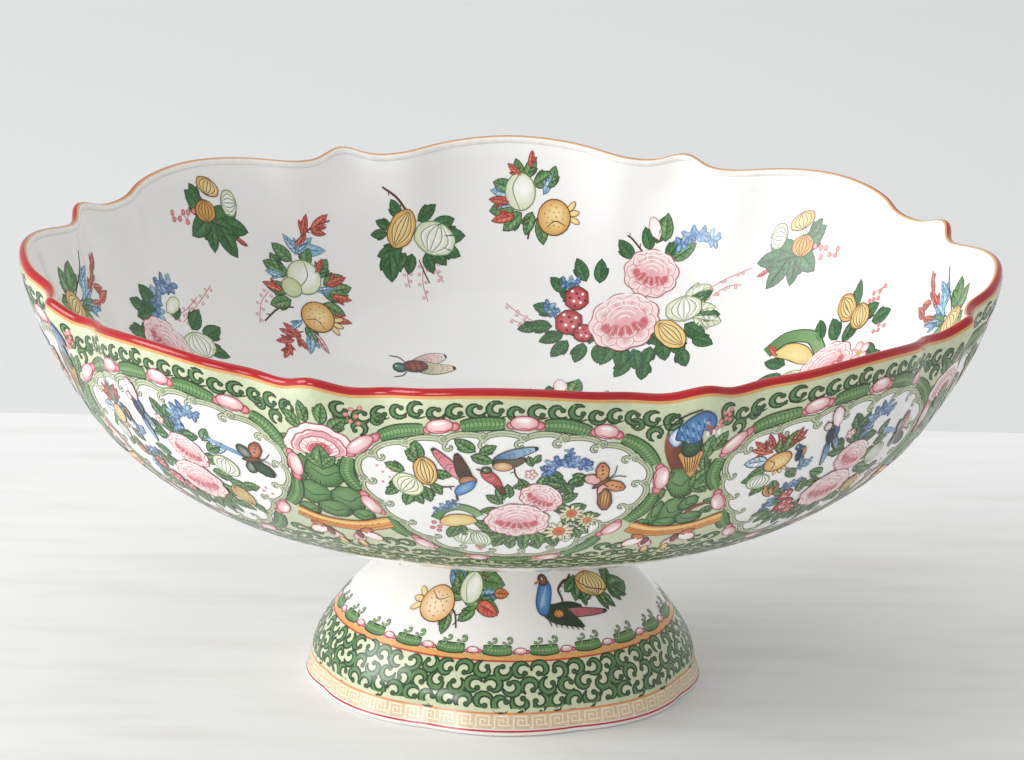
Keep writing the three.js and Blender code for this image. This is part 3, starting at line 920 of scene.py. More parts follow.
    segmented(mid.up(2), -8, 57.5, 7, 10, -14, linear(196, 214, 176), WHITE, PALE_LINE, 2)
    berries(high, [(-9.4, 62.6), (-7.6, 63), (-8.6, 64.4)], 1.8, ROSE)
    sprig(mid, [(-16, 52, 7, 118), (-14, 51, 5.6, 80)])


def fruit_panel(b):
    low, mid, high, top = b.up(5), b.up(9), b.up(14), b.up(21)
    sprig(low, [(-30, 24, 7, 198), (-31, 23, 6.5, 225), (-29, 22, 6, 250), (-26, 22, 6, 248),
                (-23, 22, 6.5, 292), (-22, 22, 5.5, 305)], body=linear(206, 92, 84),
          light=linear(232, 150, 130), line=linear(120, 50, 48), broad=.3)
    sprig(low, [(-26, 24, 6, 262), (-24, 23, 6.5, 284), (-30, 31, 6, 150), (-31, 34, 6, 168),
                (-28, 38, 6, 120), (-24, 38, 5, 60), (-20, 34, 5.5, 40)])
    leaf(low, -31, 27.5, 7, 182, body=SKY, light=WHITE, line=DEEP_BLUE)
    pomegranate(mid, -25.8, 28.6, 7.4, 9.2, 64)
    segmented(mid, -30, 36, 8, 6.6, 10, PALE_FRUIT, WHITE, PALE_LINE, 2)
    bird(high, -18.6, 26.6, .72, 258, linear(58, 66, 76), DEEP_BLUE, BLUE, linear(196, 140, 92),
         linear(60, 92, 148))
    hyacinth(mid, [(-16.5, 33), (-14, 31.5)], .85, linear(120, 166, 206))
    berries(mid, [(-21, 33), (-19, 34.4), (-17.4, 35)], 1.5, BROWN)
    leaf(low, -25, 40, 6.5, 58, body=ORANGE, light=CREAM, line=BROWN)
    leaf(low, -22.5, 39.5, 5.5, 78, body=linear(212, 96, 70), light=ORANGE, line=BROWN)
    bird(high, -9.2, 21.6, .96, 248, linear(44, 52, 62), linear(50, 60, 96), BLUE, linear(84, 108, 148),
         linear(238, 214, 214))
    petal(top, -8.4, 20, 8, 252, 4.2, WHITE, linear(232, 190, 196), BROWN)
    feathers(high, [(-9.6, 26), (-8.4, 30), (-7.8, 34.6)], 2.0, BLUE, SKY)
    sprig(low, [(1, 22, 6.5, 238), (3, 22, 5, 290), (-2, 30, 6, 172), (-3, 28, 6, 200), (2, 27, 6.5, 230),
                (5, 27, 6, 320), (8, 28, 6, 350), (3, 26, 5, 262)], body=linear(52, 104, 66))
    blossom(mid, -1, 24.5, 2.0)
    hyacinth(mid, [(6, 25), (6.6, 20.5), (10, 17.8), (14.6, 18.8)], 1.25)
    peony(high.up(-3), 5.8, 34.4, 15, 12, 22)
    peony(high.up(7), 3.2, 47.4, 20.5, 16)
    sprig(low, [(-6, 38, 6, 200), (-5, 42, 6, 180), (13, 36, 7, 340), (14, 41, 7, 10), (-4, 52, 7, 160),
                (-1, 54, 7, 130), (3, 55, 7, 100), (7, 55, 7.4, 74), (11, 53, 8, 48), (1, 59, 6, 104),
                (5, 59.5, 6, 88), (9, 58, 6, 70), (-3, 57, 6, 124), (13, 48, 8, 22), (16, 31, 6, 330),
                (16, 55, 6, 40), (19, 44, 7, 20), (24, 44, 6, 350), (22, 54, 6, 60), (15, 27, 5.5, 300)])
    segmented(mid, 19.6, 36.5, 9.6, 8.4, 20, PALE_FRUIT, WHITE, PALE_LINE)
    segmented(mid, 19.6, 50, 7.8, 10, -24, YELLOW, CREAM, BROWN)
    leaf(low, 17, 30, 7.5, 340, body=SKY, light=WHITE, line=DEEP_BLUE)
    low.stroke(smooth([(15, 26), (20, 27.6), (26, 29.4), (30, 31)], 4), 1.6, SKY, BLUE, over=2, taper=.5)
    butterfly(top, 31, 30.6, 1.35, 350, linear(170, 54, 50), linear(58, 78, 62), linear(60, 110, 176))
    petal(top, 30, 32, 8.5, 28, 5.4, linear(66, 92, 70), linear(40, 52, 44), DARK_LINE, over=1)
    lychee(mid, -12.4, 51.4, 7.4)
    lychee(mid, -15.4, 45.4, 5.6)
    lychee(mid, -8.2, 54.4, 5.6)
    hyacinth(mid, [(-21, 50), (-20, 47)], 1.0)
    hyacinth(mid, [(-18, 41), (-14, 40)], 1.0)
    sprig(low, [(-16, 55, 7, 130), (-12, 57, 7, 108), (-8, 58, 7, 88), (-19, 53, 6, 160), (-10, 44, 6.4, 250),
                (-17, 49, 6, 188), (-5, 57, 7, 70), (-18, 44, 5.5, 210)])
    berries(low, [(28, 43), (30, 44.6), (31.4, 42.8), (30.2, 46.8), (33, 45.2)], 1.0)


# ---- The ground between the panels ---------------------------------------------------------------
def ribbon(b):
    path = smooth([(-14.5, 48.6), (-8, 51.8), (0, 53), (9, 52), (17.5, 48.4)], 5)
    path = path + (0, 2.6)
    b.stroke(path, 6.2, linear(122, 62, 40), over=3)
    b.stroke(path, 5.3, linear(206, 134, 62), linear(222, 156, 76), over=4)
    b.stroke(path + (0, -1.2), 1.7, linear(240, 196, 118), over=5)
    b.stroke(path + (0, 1.5), .4, linear(188, 96, 52), over=5)
    for k in range(13):
        x = -13 + k * 2.2
        low = 56.4 - x * x * .017
        b.stroke(smooth([(x - .7, low), (x, low - 1), (x + .9, low - .2)], 3), .35, linear(176, 84, 48),
                 over=6, taper=.5)


def frond(b, x, y, across, down, turn):
    """A plump leaf with a combed dark fringe along its lower side."""
    b = b.at(x, y, turn)
    b.dab(ring(across, down, 27, ripple=.07, waves=9), mix(LEAF, LEAF_LIGHT, .4), mix(LEAF, LEAF_DARK, .2),
          LEAF_DARK, .5, heart=(-across * .12, -down * .2))
    for k, at in enumerate(np.radians(np.linspace(-10, 190, 21))):
        rim_spot = np.array([across * math.cos(at), down * math.sin(at)]) / 2
        b.stroke([rim_spot, rim_spot * (.66, .78)[k % 2] - (.4, 0)], .5, LEAF_DARK, over=1, taper=.6)
    b.stroke(smooth([(-across * .3, -down * .14), (0, down * .1), (across * .3, -down * .08)], 3), .45,
             LEAF_DARK, over=1, taper=.5)


def small_moths(b):
    for x, y, s in ((-7.5, 59.4, 1), (5.5, 59.2, -1)):
        m = b.at(x, y, size=1.35, over=2)
        petal(m, 0, 0, 6, 150 if s > 0 else 30, 4, WHITE, PALE_PINK, PINK_LINE)
        petal(m, 0, .8, 5.6, 60 if s > 0 else 120, 3.6, PALE_PINK, PINK, PINK_LINE)
        petal(m, 0, 0, 4.2, 210 if s > 0 else -30, 2.8, ORANGE, linear(176, 70, 60), BROWN)
        m.dab(ring(2, 4.4, 8, s * .8, 1.6), linear(160, 60, 54), BROWN, DARK_LINE, .3, over=2)
        petal(m, s * 2, 4, 4.6, 80, 2.4, CREAM, ORANGE, BROWN, over=1)


def peony_gap(b):
    for k, shape in enumerate(((-8, 30, 6, 14, 16), (8, 30, 6, 14, -16), (0, 30, 13, 13, 0),
                               (-5.5, 40, 13, 12, 12), (6, 41, 12, 12, -12), (0, 47, 12, 9, 0),
                               (-9.5, 49, 8, 7, 0), (9.5, 48.6, 8, 7, 0))):
        frond(b.up(2 * (k % 3)), *shape)
    sprig(b.up(2), [(-6, 12, 6.5, 232), (-3, 10, 6, 262), (2, 10, 6, 285), (5, 12, 6.5, 318),
                    (-9, 18, 6, 170), (9, 18, 6, 12), (9, 26, 6, 60), (-9, 26, 6, 120)])
    fan_peony(b.up(8), 0, 20.6, 22)
    leaf(b.up(15), 0, 26, 9, 270, broad=.6)
    leaf(b.up(15), -1, 26, 6, 225)
    leaf(b.up(15), 1, 26, 6, 315)
    berries(b, [(11, 5), (9.4, 6.8), (12.2, 7.2), (10.6, 9), (13.4, 4.4), (12.8, 9.6)], 1.6)
    ribbon(b.up(8))
    small_moths(b.up(12))


def bird_gap(b):
    for k, shape in enumerate(((-8, 46, 4, 15, 10), (-9, 37, 4, 9, 24), (-2.4, 31, 9, 15, -20),
                               (-2.4, 44, 9, 14, 10), (4.6, 49, 10, 7, 0), (2.4, 41, 6, 8, 30),
                               (-11, 50, 6, 5, 0), (-3, 50.5, 9, 6, 0))):
        frond(b.up(2 * (k % 3)), *shape)
    sprig(b.up(4), [(3.6, 19.6, 8, 280), (6.4, 17.4, 7, 300), (2, 31, 9, 306), (3, 34, 8, 350),
                    (8.6, 41, 5, 20), (4, 25, 6, 260), (-6.4, 27, 6, 150), (9, 46, 6, 340)], broad=.5)
    b.up(8).stroke(smooth([(2.6, 46.6), (5, 43.4), (8.6, 42)], 3), 1.7, linear(134, 74, 52), taper=.4)
    berries(b, [(9, 5), (8.6, 6.6), (6.8, 6.2), (7.6, 8), (6, 8.8), (6.8, 10.2), (5.2, 10.8), (9, 8.2)], 1.6)
    high = b.up(12)
    high.stroke(smooth([(-9.4, 14), (-8.8, 9), (-5.6, 6.2), (-1, 5.2)], 4), .6, DARK_LINE, taper=.4)
    for x, wing in ((-8.6, linear(170, 84, 64)), (-6.4, linear(120, 68, 48))):
        high.stroke(smooth([(x, 11.5), (x + .4, 17), (x + 3, 24.8)], 4), 2.6, wing, linear(104, 58, 42),
                    over=1, taper=.3)
    high.dab(smooth([(-4.8, 18), (-4.4, 21), (.2, 29), (2.4, 21), (2.2, 18)], 3, True), linear(228, 184, 112),
             linear(206, 146, 78), BROWN, .35, over=2)
    for k in range(6):
        high.stroke([(-3.6 + k, 18.6), (-1.5 + k * .45, 26.4)], .32, BROWN, over=3, taper=.4)
    high.dab(ring(6.8, 8.6, 16, -1.5, 16), linear(66, 108, 68), linear(36, 64, 48), DARK_LINE, .4, over=4)
    for row in range(2):
        for k in range(3):
            x, y = -3.4 + k * 1.9, 15.6 + row * 2
            high.stroke(smooth([(x - .9, y), (x, y + .9), (x + .9, y)], 3), .4, LEAF_DARK, over=5, taper=.6)
    high.dab(smooth([(-9, 13.2), (-7.8, 10), (-5.4, 9.6), (-4.6, 13.4), (-6.4, 16)], 3, True), WHITE, SKY,
             BLUE, .3, over=6)
    high.dab(smooth([(-7, 13.2), (-6.4, 9.4), (-3.4, 6.6), (.2, 5.6), (3.8, 7.2), (4.6, 10), (3, 11.6),
                     (1.2, 10.8), (.8, 14.2), (-1.6, 15.2), (-4.8, 14)], 3, True), linear(92, 142, 192),
             linear(62, 106, 160), DEEP_BLUE, .4, over=7)
    for row in range(4):
        for k in range(6):
            x, y = -6 + k * 1.5 + row * .4, 9.2 - .4 * k + row * 1.5
            if x < 4 and (row < 2 or x < 0):
                high.stroke(smooth([(x, y), (x + .2, y + .9), (x + .9, y + 1.3)], 3), .34,
                            (SKY, DEEP_BLUE)[(k + row) % 2], over=8, taper=.6)
    high.stroke(smooth([(1.4, 10.4), (3, 10.4), (3.6, 12.8)], 3), 1.1, linear(160, 96, 74), over=9, taper=.6)
    high.dab(ring(1.1, 1.1, 6, 1.4, 9), WHITE, DARK_LINE, over=10)
    ribbon(b.up(8))
    small_moths(b.up(12))


# ---- Laying the outside of the bowl -----------------------------------------------------------
PANEL_PITCH = outside.reach * 2 * math.pi / LOBES


def sheet_of(film, rows, tint, lift):
    """A full band of even enamel between the first and the last row."""
    turn = np.linspace(-math.pi, math.pi, AROUND, endpoint=False) * film.skin.reach
    flat = np.stack([np.tile(turn, len(rows)), np.repeat(rows, AROUND)], 1)
    faces = [(k * AROUND + i, k * AROUND + (i + 1) % AROUND, (k + 1) * AROUND + (i + 1) % AROUND,
              (k + 1) * AROUND + i) for k in range(len(rows) - 1) for i in range(AROUND)]
    film.add(flat, lift, np.tile(tint, (len(flat), 1)), faces)


ground = Film(outside)
sheet_of(ground, np.r_[1.3, 2.6, np.linspace(4, 86, 28), 87.5], GROUND, .05)
ground.laid("ground_enamel", "bowl_glaze")

fields = Film(outside)
for k in range(LOBES):
    film = Film(outside)
    b = Brush(film, origin=(k * PANEL_PITCH, 0), lift=.15)
    panel_frame(b, fields)
    (fruit_panel if k % 2 else bird_panel)(b)
    film.laid(f"panel_{'fruit' if k % 2 else 'bird'}_{k}", "bowl_glaze")
    film = Film(outside)
    b = Brush(film, origin=((k + .5) * PANEL_PITCH, 0), lift=.075)
    (peony_gap if k % 2 else bird_gap)(b)
    film.laid(f"between_{'peony' if k % 2 else 'bird'}_{k}", "bowl_glaze")
fields.laid("panel_fields", "bowl_glaze", white_glaze)

film = Film(outside)
b = Brush(film, lift=.085)
UPPER_SCROLLS, LOWER_SCROLLS = LOBES * 20, 152
for k in range(UPPER_SCROLLS):
    x = (k + .5) * 2 * math.pi * outside.reach / UPPER_SCROLLS
    to_gap = PANEL_PITCH / 2 - abs(x - PANEL_PITCH * round(x / PANEL_PITCH))
    if to_gap < 4:
        continue
    arch = 1.4 * math.exp(-((to_gap - 14) / 9) ** 2)
    scroll(b, x, 5.2 + .4 * (-1) ** (k // 2) + arch, (0, 150)[k % 2] + rng.uniform(-14, 14), 1.2, bool(k % 2))
    b.stroke(smooth([(x - 2.6, 6.6 + arch), (x, 7.5 + arch), (x + 2.6, 6.8 + arch)], 3), .6, SCROLL,
             over=1, taper=.5)
for k in range(LOBES * 2):
    side = 1 if k % 2 else -1
    centre = (k // 2) * PANEL_PITCH
    for x, y, turn, size in ((36.5, 8.6, 190, 1.0), (42.5, 11.4, 80, 1.15), (46.5, 7.6, 300, 1.05)):
        scroll(b, centre + side * x, y, turn * side, size, side < 0)
film.laid("upper_scroll_border", "bowl_glaze")

film = Film(outside)
b = Brush(film, lift=.1)
for row, down in enumerate((64, 70.5, 77, 83)):
    size = outside.profile[np.searchsorted(outside.down, down), 0] / outside.reach
    for k in range(LOWER_SCROLLS):
        x = (k + .5 * (row % 2)) * 2 * math.pi * outside.reach / LOWER_SCROLLS
        local = x / PANEL_PITCH - round(x / PANEL_PITCH)
        reach = abs(local * PANEL_PITCH)
        if down < 73 and reach < np.interp(down, [60, 66, 70, 76], [34, 27, 21, 0]):
            continue
        if down < 68 and reach > PANEL_PITCH / 2 - 14:
            continue
        turn = rng.uniform(0, 360)
        spot = b.at(x, down + rng.uniform(-.5, .5))
        spot.grid = spot.grid @ np.diag([1 / size, 1.0])
        scroll(spot, 0, 0, turn, 1.22, bool((k + row) % 2))
film.laid("lower_scroll_border", "bowl_glaze")


# ---- The foot ------------------------------------------------------------------------------------
def fruit_spray(b):
    low, mid = b.up(1), b.up(6)
    leaf(low, -20, 15, 11, 208, body=BLUE, light=SKY, line=LEAF_DARK)
    sprig(low, [(-20, 17, 9, 236), (-19, 19, 8, 190), (-12, 12, 8, 200), (-9, 20, 10, 176), (-10, 21, 10, 20),
                (-22, 27, 7, 92), (-10, 13, 12, 8), (-13, 24, 7, 140), (-16, 13, 8, 250)])
    leaf(low, -9.5, 18.5, 9, 352, body=BLUE, light=SKY)
    leaf(mid, -3, 17.4, 6, 2, body=ORANGE, light=linear(212, 96, 70), line=BROWN)
    leaf(mid, -9, 22, 8.4, 24, body=linear(206, 80, 66), light=linear(236, 140, 116), line=BROWN)
    leaf(low, -8, 12, 6, 190, body=linear(196, 110, 92), light=CREAM, line=BROWN)
    mid.dab(ring(10.5, 11.5, 20, -15, 16), WHITE, PALE_FRUIT, PALE_LINE, .35, heart=(-13, 14))
    mid.stroke(smooth([(-15, 11), (-17.6, 15), (-15.6, 21)], 4), .3, PALE_LINE, over=1)
    pomegranate(mid.up(3), -28, 23, 15, 13.4, 182, linear(230, 188, 122), linear(248, 232, 198))
    twig(low, [(-21, 24), (-19, 26), (-17.4, 30.4)], .7)
    low.stroke(smooth([(-19.4, 26), (-17.4, 25.6), (-16, 23.6)], 3), .5, BROWN, over=2, taper=.4)


def bird_spray(b):
    low, mid, high = b.up(1), b.up(6), b.up(10)
    twig(low, [(24.6, 25), (25.4, 20), (25, 17), (28.6, 14.6), (31.6, 14), (34, 12.4)], 1.1)
    sprig(low, [(35, 15, 9, 120), (36, 19, 6, 100), (44, 21, 7, 84), (52, 20, 7, 70), (53, 18, 9, 322),
                (54, 20, 12, 4), (46, 22, 6.5, 58), (39, 20, 5.5, 160), (33, 15, 7, 150)],
          body=linear(48, 100, 60))
    segmented(mid, 43, 17, 17, 9.2, 6, YELLOW, CREAM, BROWN, 3)
    mid.stroke(smooth([(35, 14), (40, 18), (49, 20.4)], 3), .45, BROWN, over=3)
    feathers(mid, [(20, 24), (30, 25.4), (43.4, 27)], 3.4, linear(202, 116, 120), linear(170, 92, 100))
    feathers(mid.up(2), [(19, 23), (27, 22.6), (33, 23.6)], 2.2, DARK_LINE, LEAF_DARK)
    mid.dab(smooth([(15.6, 25), (20, 21.6), (26, 23.6), (31, 30.6), (25, 29.8), (19, 28.2)], 3, True),
            DARK_LINE, LEAF_DARK, DARK_LINE, .3, over=4)
    for k in range(7):
        mid.stroke([(17.4 + k * 1.9, 26.4 + k * .5), (18 + k * 2.0, 29.4 + k * .42)], .5, DARK_LINE,
                   over=5, taper=.5)
    high.dab(smooth([(20.4, 13), (22, 16), (19.4, 22), (17, 25.6), (14, 24.6), (13.4, 20.6), (16.6, 14)],
                    3, True), linear(104, 156, 206), linear(52, 108, 172), DEEP_BLUE, .4)
    for k in range(4):
        high.stroke(smooth([(19.6 - k * 1.0, 15 + k * 1.4), (17.6 - k * .8, 19 + k),
                            (16.8 - k * .6, 22 + k * .4)], 3), .4, SKY, over=1, taper=.6)
    high.dab(ring(5, 4.4, 14, 18.6, 13.2), linear(136, 96, 74), BROWN, DARK_LINE, .35, over=2)
    high.dab(ring(1.1, 1.1, 6, 18.4, 12.8), WHITE, DARK_LINE, over=3)
    high.stroke([(16.6, 13.6), (14.2, 14.4)], 1, YELLOW, BROWN, over=3, taper=.7)
    high.dab(ring(4.4, 3, 12, 22, 25.2), linear(224, 172, 84), ORANGE, BROWN, .3, over=3)
    for k in range(3):
        high.stroke([(20.6 + k * 1.2, 24.2), (21.4 + k * 1.2, 26.4)], .3, BROWN, over=4)


def key_pattern(b, x, y, size):
    """One turn of the square key border."""
    b = b.at(x, y, size=size)
    b.stroke([(-2.6, 1.9), (-1.9, 1.9), (-1.9, -1.7), (1.7, -1.7), (1.7, 1.1), (-.7, 1.1), (-.7, -.6),
              (.6, -.6), (.6, .2)], .5, TAN_LINE)
    b.stroke([(1.7, 1.1), (2.6, 1.1)], .5, TAN_LINE)


foot_round = 2 * math.pi * foot_side.reach
film = Film(foot_side)
BAND_RED, BAND_ORANGE = linear(186, 52, 48), linear(222, 132, 72)
for rows, tint, lift in (([38.2, 40.2], BAND_GOLD, .06), ([40.0, 40.55], BAND_RED, .075),
                         (np.linspace(40.55, 56.5, 8), GROUND, .05), ([56.4, 56.95], BAND_ORANGE, .075),
                         (np.linspace(56.95, 61.5, 7), TAN, .06), ([61.9, 62.5], BAND_RED, .06)):
    sheet_of(film, rows, tint, lift)
film.laid("foot_ground_bands", "foot_glaze")

film = Film(foot_side)
b = Brush(film, lift=.09)
for row, down in enumerate((43.2, 48.3, 53.3)):
    count = (60, 62, 64)[row]
    for k in range(count):
        x = (k + .5 * (row % 2)) * foot_round / count
        squeeze = b.at(x, down + rng.uniform(-.35, .35))
        scroll(squeeze, 0, 0, rng.uniform(0, 360), 1.3, bool((k + row) % 2))
film.laid("foot_scroll_band", "foot_glaze")

film = Film(foot_side)
b = Brush(film, lift=.1)
KEYS, BEADS = 66, 22
KEY_WIDTH = 5.2
for k in range(KEYS):
    key_pattern(b, k * foot_round / KEYS, 59.2, foot_round / KEYS / KEY_WIDTH)
film.laid("foot_key_border", "foot_glaze")

film = Film(foot_side)
b = Brush(film, lift=.1)
for k in range(BEADS):
    x = 6 + k * foot_round / BEADS
    bar(b, [(x + 3, 36.6), (x + foot_round / BEADS / 2, 36.9), (x + foot_round / BEADS - 3, 36.6)], 3.1)
    for s in (-1, 1):
        curl(b, x + foot_round / BEADS / 2 + s * 3.4, 34.3, -90 + 30 * s, 1.0, s > 0, LEAF_LIGHT, LEAF_DARK)
        curl(b, x + foot_round / BEADS / 2 + s * 1.6, 34.2, -90 - 30 * s, .8, s < 0, LEAF_LIGHT, LEAF_DARK)
    bud(b, x, 37, 5.6, 0, 2.5)
film.laid("foot_bead_row", "foot_glaze")

for k in range(2):
    film = Film(foot_side)
    b = Brush(film, origin=(k * foot_round / 2, 0), lift=.07)
    butterfly(b.up(1), -62, 10, .9, 20, ORANGE, BLUE)
    fruit_spray(b)
    bird_spray(b)
    film.laid(f"foot_spray_{k}", "foot_glaze")


# ---- Inside the bowl --------------------------------------------------------------------------------
RED_LEAF = dict(body=linear(204, 84, 70), light=linear(232, 140, 118), line=linear(128, 52, 46), broad=.36)
BLUE_LEAF = dict(body=linear(126, 176, 208), light=linear(214, 230, 236), line=linear(70, 116, 150),
                 broad=.34)
DARK_LEAF = dict(body=linear(52, 106, 64), light=LEAF)


def berry_fall(b, points, count, tint=ROSE):
    path = smooth(points, 6)
    b.stroke(path, .25, tint, over=0)
    for k in range(count):
        x, y = path[int(k / count * (len(path) - 1))]
        b.dab(ring(1.3, 1.3, 6, x + (1.6 if k % 2 else -1.6) * (1 - .5 * k / count), y + .5), PALE_PINK,
              tint, over=1)


def bud_branch(b):
    mid = b.up(4)
    sprig(b, [(-3, 2, 11, 184), (3, 2, 13, -52), (7, 3, 11, 28), (3, 5, 9, 62), (0, 4, 11, 112),
              (9, -1, 9, -18), (2, 3, 12, -20), (-6, 0, 7, 200)], **DARK_LEAF)
    segmented(mid, -4, -6.5, 11, 6, -14, YELLOW, CREAM, BROWN, 2)
    segmented(mid.up(2), -1.5, 1.5, 9.5, 7.4, -35, linear(214, 150, 66), YELLOW, BROWN, 2)
    segmented(mid.up(2), 6, -7.4, 9, 7, 55, PALE_FRUIT, WHITE, PALE_LINE, 2)
    leaf(mid, 14, 1.5, 4.4, -5, **RED_LEAF)
    berries(mid, [(-6, 5), (-8, 7), (-7, 10), (-10, 8.4), (-10.6, 11.4), (-13, 13.4), (-14.6, 12)], 2.1,
            stems=True)


def pomegranate_branch(b):
    low, mid, high = b, b.up(4), b.up(8)
    twig(low, [(-9, -18), (-5, -24), (1, -29)], .7)
    sprig(low, [(-8.5, -20, 8, 262), (-4.5, -24, 9, 300), (-4, -22, 6, 342), (-9, -14, 7, 290)], **RED_LEAF)
    sprig(low, [(-8, -13, 13, 336), (-9, -12, 8, 205), (4, 18, 9, 84), (-1, 14, 6, 120)], **BLUE_LEAF)
    sprig(low, [(-11, -8, 8, 192), (-11, -2, 9, 176), (-9, 4, 8, 160), (2, -8, 8, 284), (6, -6, 8, 316),
                (7, -2, 9, 345), (-4, -10, 8, 250), (8, 3, 8, 12), (-7, 8, 8, 140), (-13, -3, 6, 215),
                (3, 15, 7, 60), (9, -4, 8, 330)])
    sprig(mid, [(-12, 0, 6, 166), (4, -2, 6.5, 330), (-8, -12, 6, 300)], **BLUE_LEAF)
    sprig(mid, [(7, -6, 8, 318), (10, -1.5, 7, 350), (11, 7, 7.4, 356), (-11, 5, 7, 172), (1, -9, 6, 280)],
          **RED_LEAF)
    mid.dab(ring(13.5, 13, 20, -3, -4), WHITE, PALE_FRUIT, PALE_LINE, .4, over=1, heart=(-1, -6))
    mid.stroke(smooth([(-5, -9.6), (-2, -5), (-4, 1.6)], 4), .4, PALE_LINE, over=2, taper=.4)
    mid.dab(ring(8, 7.4, 14, -6.4, 2), PALE_FRUIT, linear(196, 210, 160), PALE_LINE, .35, over=3)
    pomegranate(high, 5, 9, 12.6, 12.4, 4)
    twig(low, [(-4, 9), (-9, 12), (-13, 20)], .7)
    berry_fall(low, [(-14, 8), (-15.6, 14), (-14.6, 22)], 8)
    twig(low, [(1, 17), (-3, 21), (-4, 29)], .6, thorns=False)
    sprig(low, [(-2, 20, 6.5, 178), (-3, 23, 6.5, 150), (-3.6, 25, 6, 64), (-3, 27, 6, 100),
                (-1, 19, 7, 200), (0, 21, 6, 40)], **RED_LEAF)
    leaf(low, 6, 17, 9, 48, body=PINK, light=PALE_PINK, line=PINK_LINE, broad=.25)


def gourd_pair(b):
    mid = b.up(4)
    twig(b, [(-16, -14), (-10, -12), (-5, -8), (-1, -4)], .9)
    sprig(b, [(-8, -6, 7, 232), (-11, -1, 6, 190), (-12, 2, 6, 160), (-6, 7, 9, 150), (-7, 8, 9, 60),
              (-8, 10, 11, 76), (2, -6, 8, 320), (8, -3, 9, 338), (12, 0, 9, 356), (12, 4, 8, 20),
              (6, 8, 7, 60), (0, 9, 7, 92), (9, 6, 7, 40), (-3, 9, 7, 110)], **DARK_LEAF)
    segmented(mid, 8, 1, 17, 11.6, 16, PALE_FRUIT, WHITE, PALE_LINE)
    segmented(mid.up(3), -5.4, -1, 10.5, 15, 14, YELLOW, CREAM, BROWN)
    for start, end in (((0, 10), (1, 20)), ((5, 11), (8, 24)), ((9, 9), (13, 16))):
        berry_fall(b, [start, ((start[0] + end[0]) / 2 - 1, (start[1] + end[1]) / 2), end], 7)
    twig(b, [(3, 9), (6, 14), (8, 17)], .5, thorns=False)


def peach_branch(b):
    low, mid, high = b, b.up(4), b.up(8)
    sprig(low, [(-4, -8, 7, 250), (-1, -9, 7, 300), (-8, -4, 8, 196), (-8, 2, 9, 170), (3, -6, 8, 330),
                (0, 5, 7, 110), (4, 7, 8, 84), (8, -6, 7, 290), (-5, 5, 8, 140)])
    sprig(low, [(-8, -2, 9, 190), (-6, 1, 9, 172), (6, -4, 8, 300)], **BLUE_LEAF)
    sprig(mid, [(-10, 0, 7, 184), (-8, 5, 8, 168), (-5, -9, 6, 215), (0, -12, 6, 280)], **RED_LEAF)
    mid.dab(ring(12, 12.4, 20, -4, -3), WHITE, PALE_FRUIT, PALE_LINE, .4, over=1, heart=(-2, -5))
    mid.stroke(smooth([(-4, -9), (-7, -4), (-4, 2.8)], 4), .4, PALE_LINE, over=2, taper=.4)
    pomegranate(high, 9, 5, 13, 12, 350)
    twig(low, [(3, 5), (0, 8), (-1, 12)], .8)


def peony_bouquet(b):
    low, mid, high = b, b.up(4), b.up(10)
    ring_of_leaves = [(-30, 2, 8, 184), (-26, 6, 8, 160), (-24, 10, 8, 130), (-18, 12, 8, 110),
                      (-12, 13, 8, 96), (-8, 14, 9, 120), (-4, 16, 9, 100), (0, 18, 9, 84),
                      (5, 18, 8, 110), (10, 16, 9, 88), (14, 16, 9, 70), (20, 12, 9, 50),
                      (-28, -4, 8, 200), (-24, -12, 7, 225), (-16, -16, 8, 250), (-10, -15, 8, 280),
                      (2, -22, 8, 240), (10, -24, 8, 265), (14, -26, 9, 300), (-34, 2, 7, 170),
                      (-20, -8, 7, 210), (6, 10, 9, 60), (-6, 8, 9, 140), (25, 9, 8, 20), (24, 2, 8, 350),
                      (-14, 4, 8, 100), (17, -18, 9, 320), (-3, 22, 8, 128), (3, 24, 8, 100),
                      (16, 22, 8, 80), (22, 18, 8, 40), (-22, 2, 7, 60)]
    sprig(low, ring_of_leaves, **DARK_LEAF)
    sprig(low, [(22, 6, 10, 12), (24, 10, 10, 30), (22, 0, 10, 352)], body=PALE_FRUIT, light=WHITE,
          line=PALE_LINE)
    peony(high.up(-4), 9, -13, 21, 18, 28)
    peony(high.up(6), -2.5, 4, 25, 23)
    segmented(mid, 19, 4, 14, 10, 8, PALE_FRUIT, WHITE, PALE_LINE)
    segmented(high.up(8), 13, 13, 9, 15.4, -32, linear(232, 196, 110), CREAM, BROWN)
    lychee(mid, -22, 1, 10)
    lychee(mid, -19, -8, 9)
    lychee(mid.up(2), -17, 6, 7.5)
    hyacinth(mid, [(-29, -6), (-27, -3)], 1.15)
    hyacinth(mid, [(-23, -14), (-19, -14)], 1.15)
    hyacinth(mid, [(22, -21), (27, -23), (33, -20.6), (36, -17)], 1.5, linear(116, 162, 214))
    twig(low, [(8, -20), (4, -27), (2, -29)], .7)
    petal(mid, 14, -25, 9, 262, 5, WHITE, PALE_PINK, PINK_LINE)
    leaf(mid, 17, -26, 9, 288)
    leaf(low, 20, -17, 10, 346, broad=.5)
    for points in ([(-34, 0), (-39, -3), (-44, -7)], [(-33, 2), (-38, 1), (-42, -1)],
                   [(28, 0), (36, -1), (46, 0)], [(30, 3), (36, 2), (41, 4)]):
        berry_fall(low, points, 7)


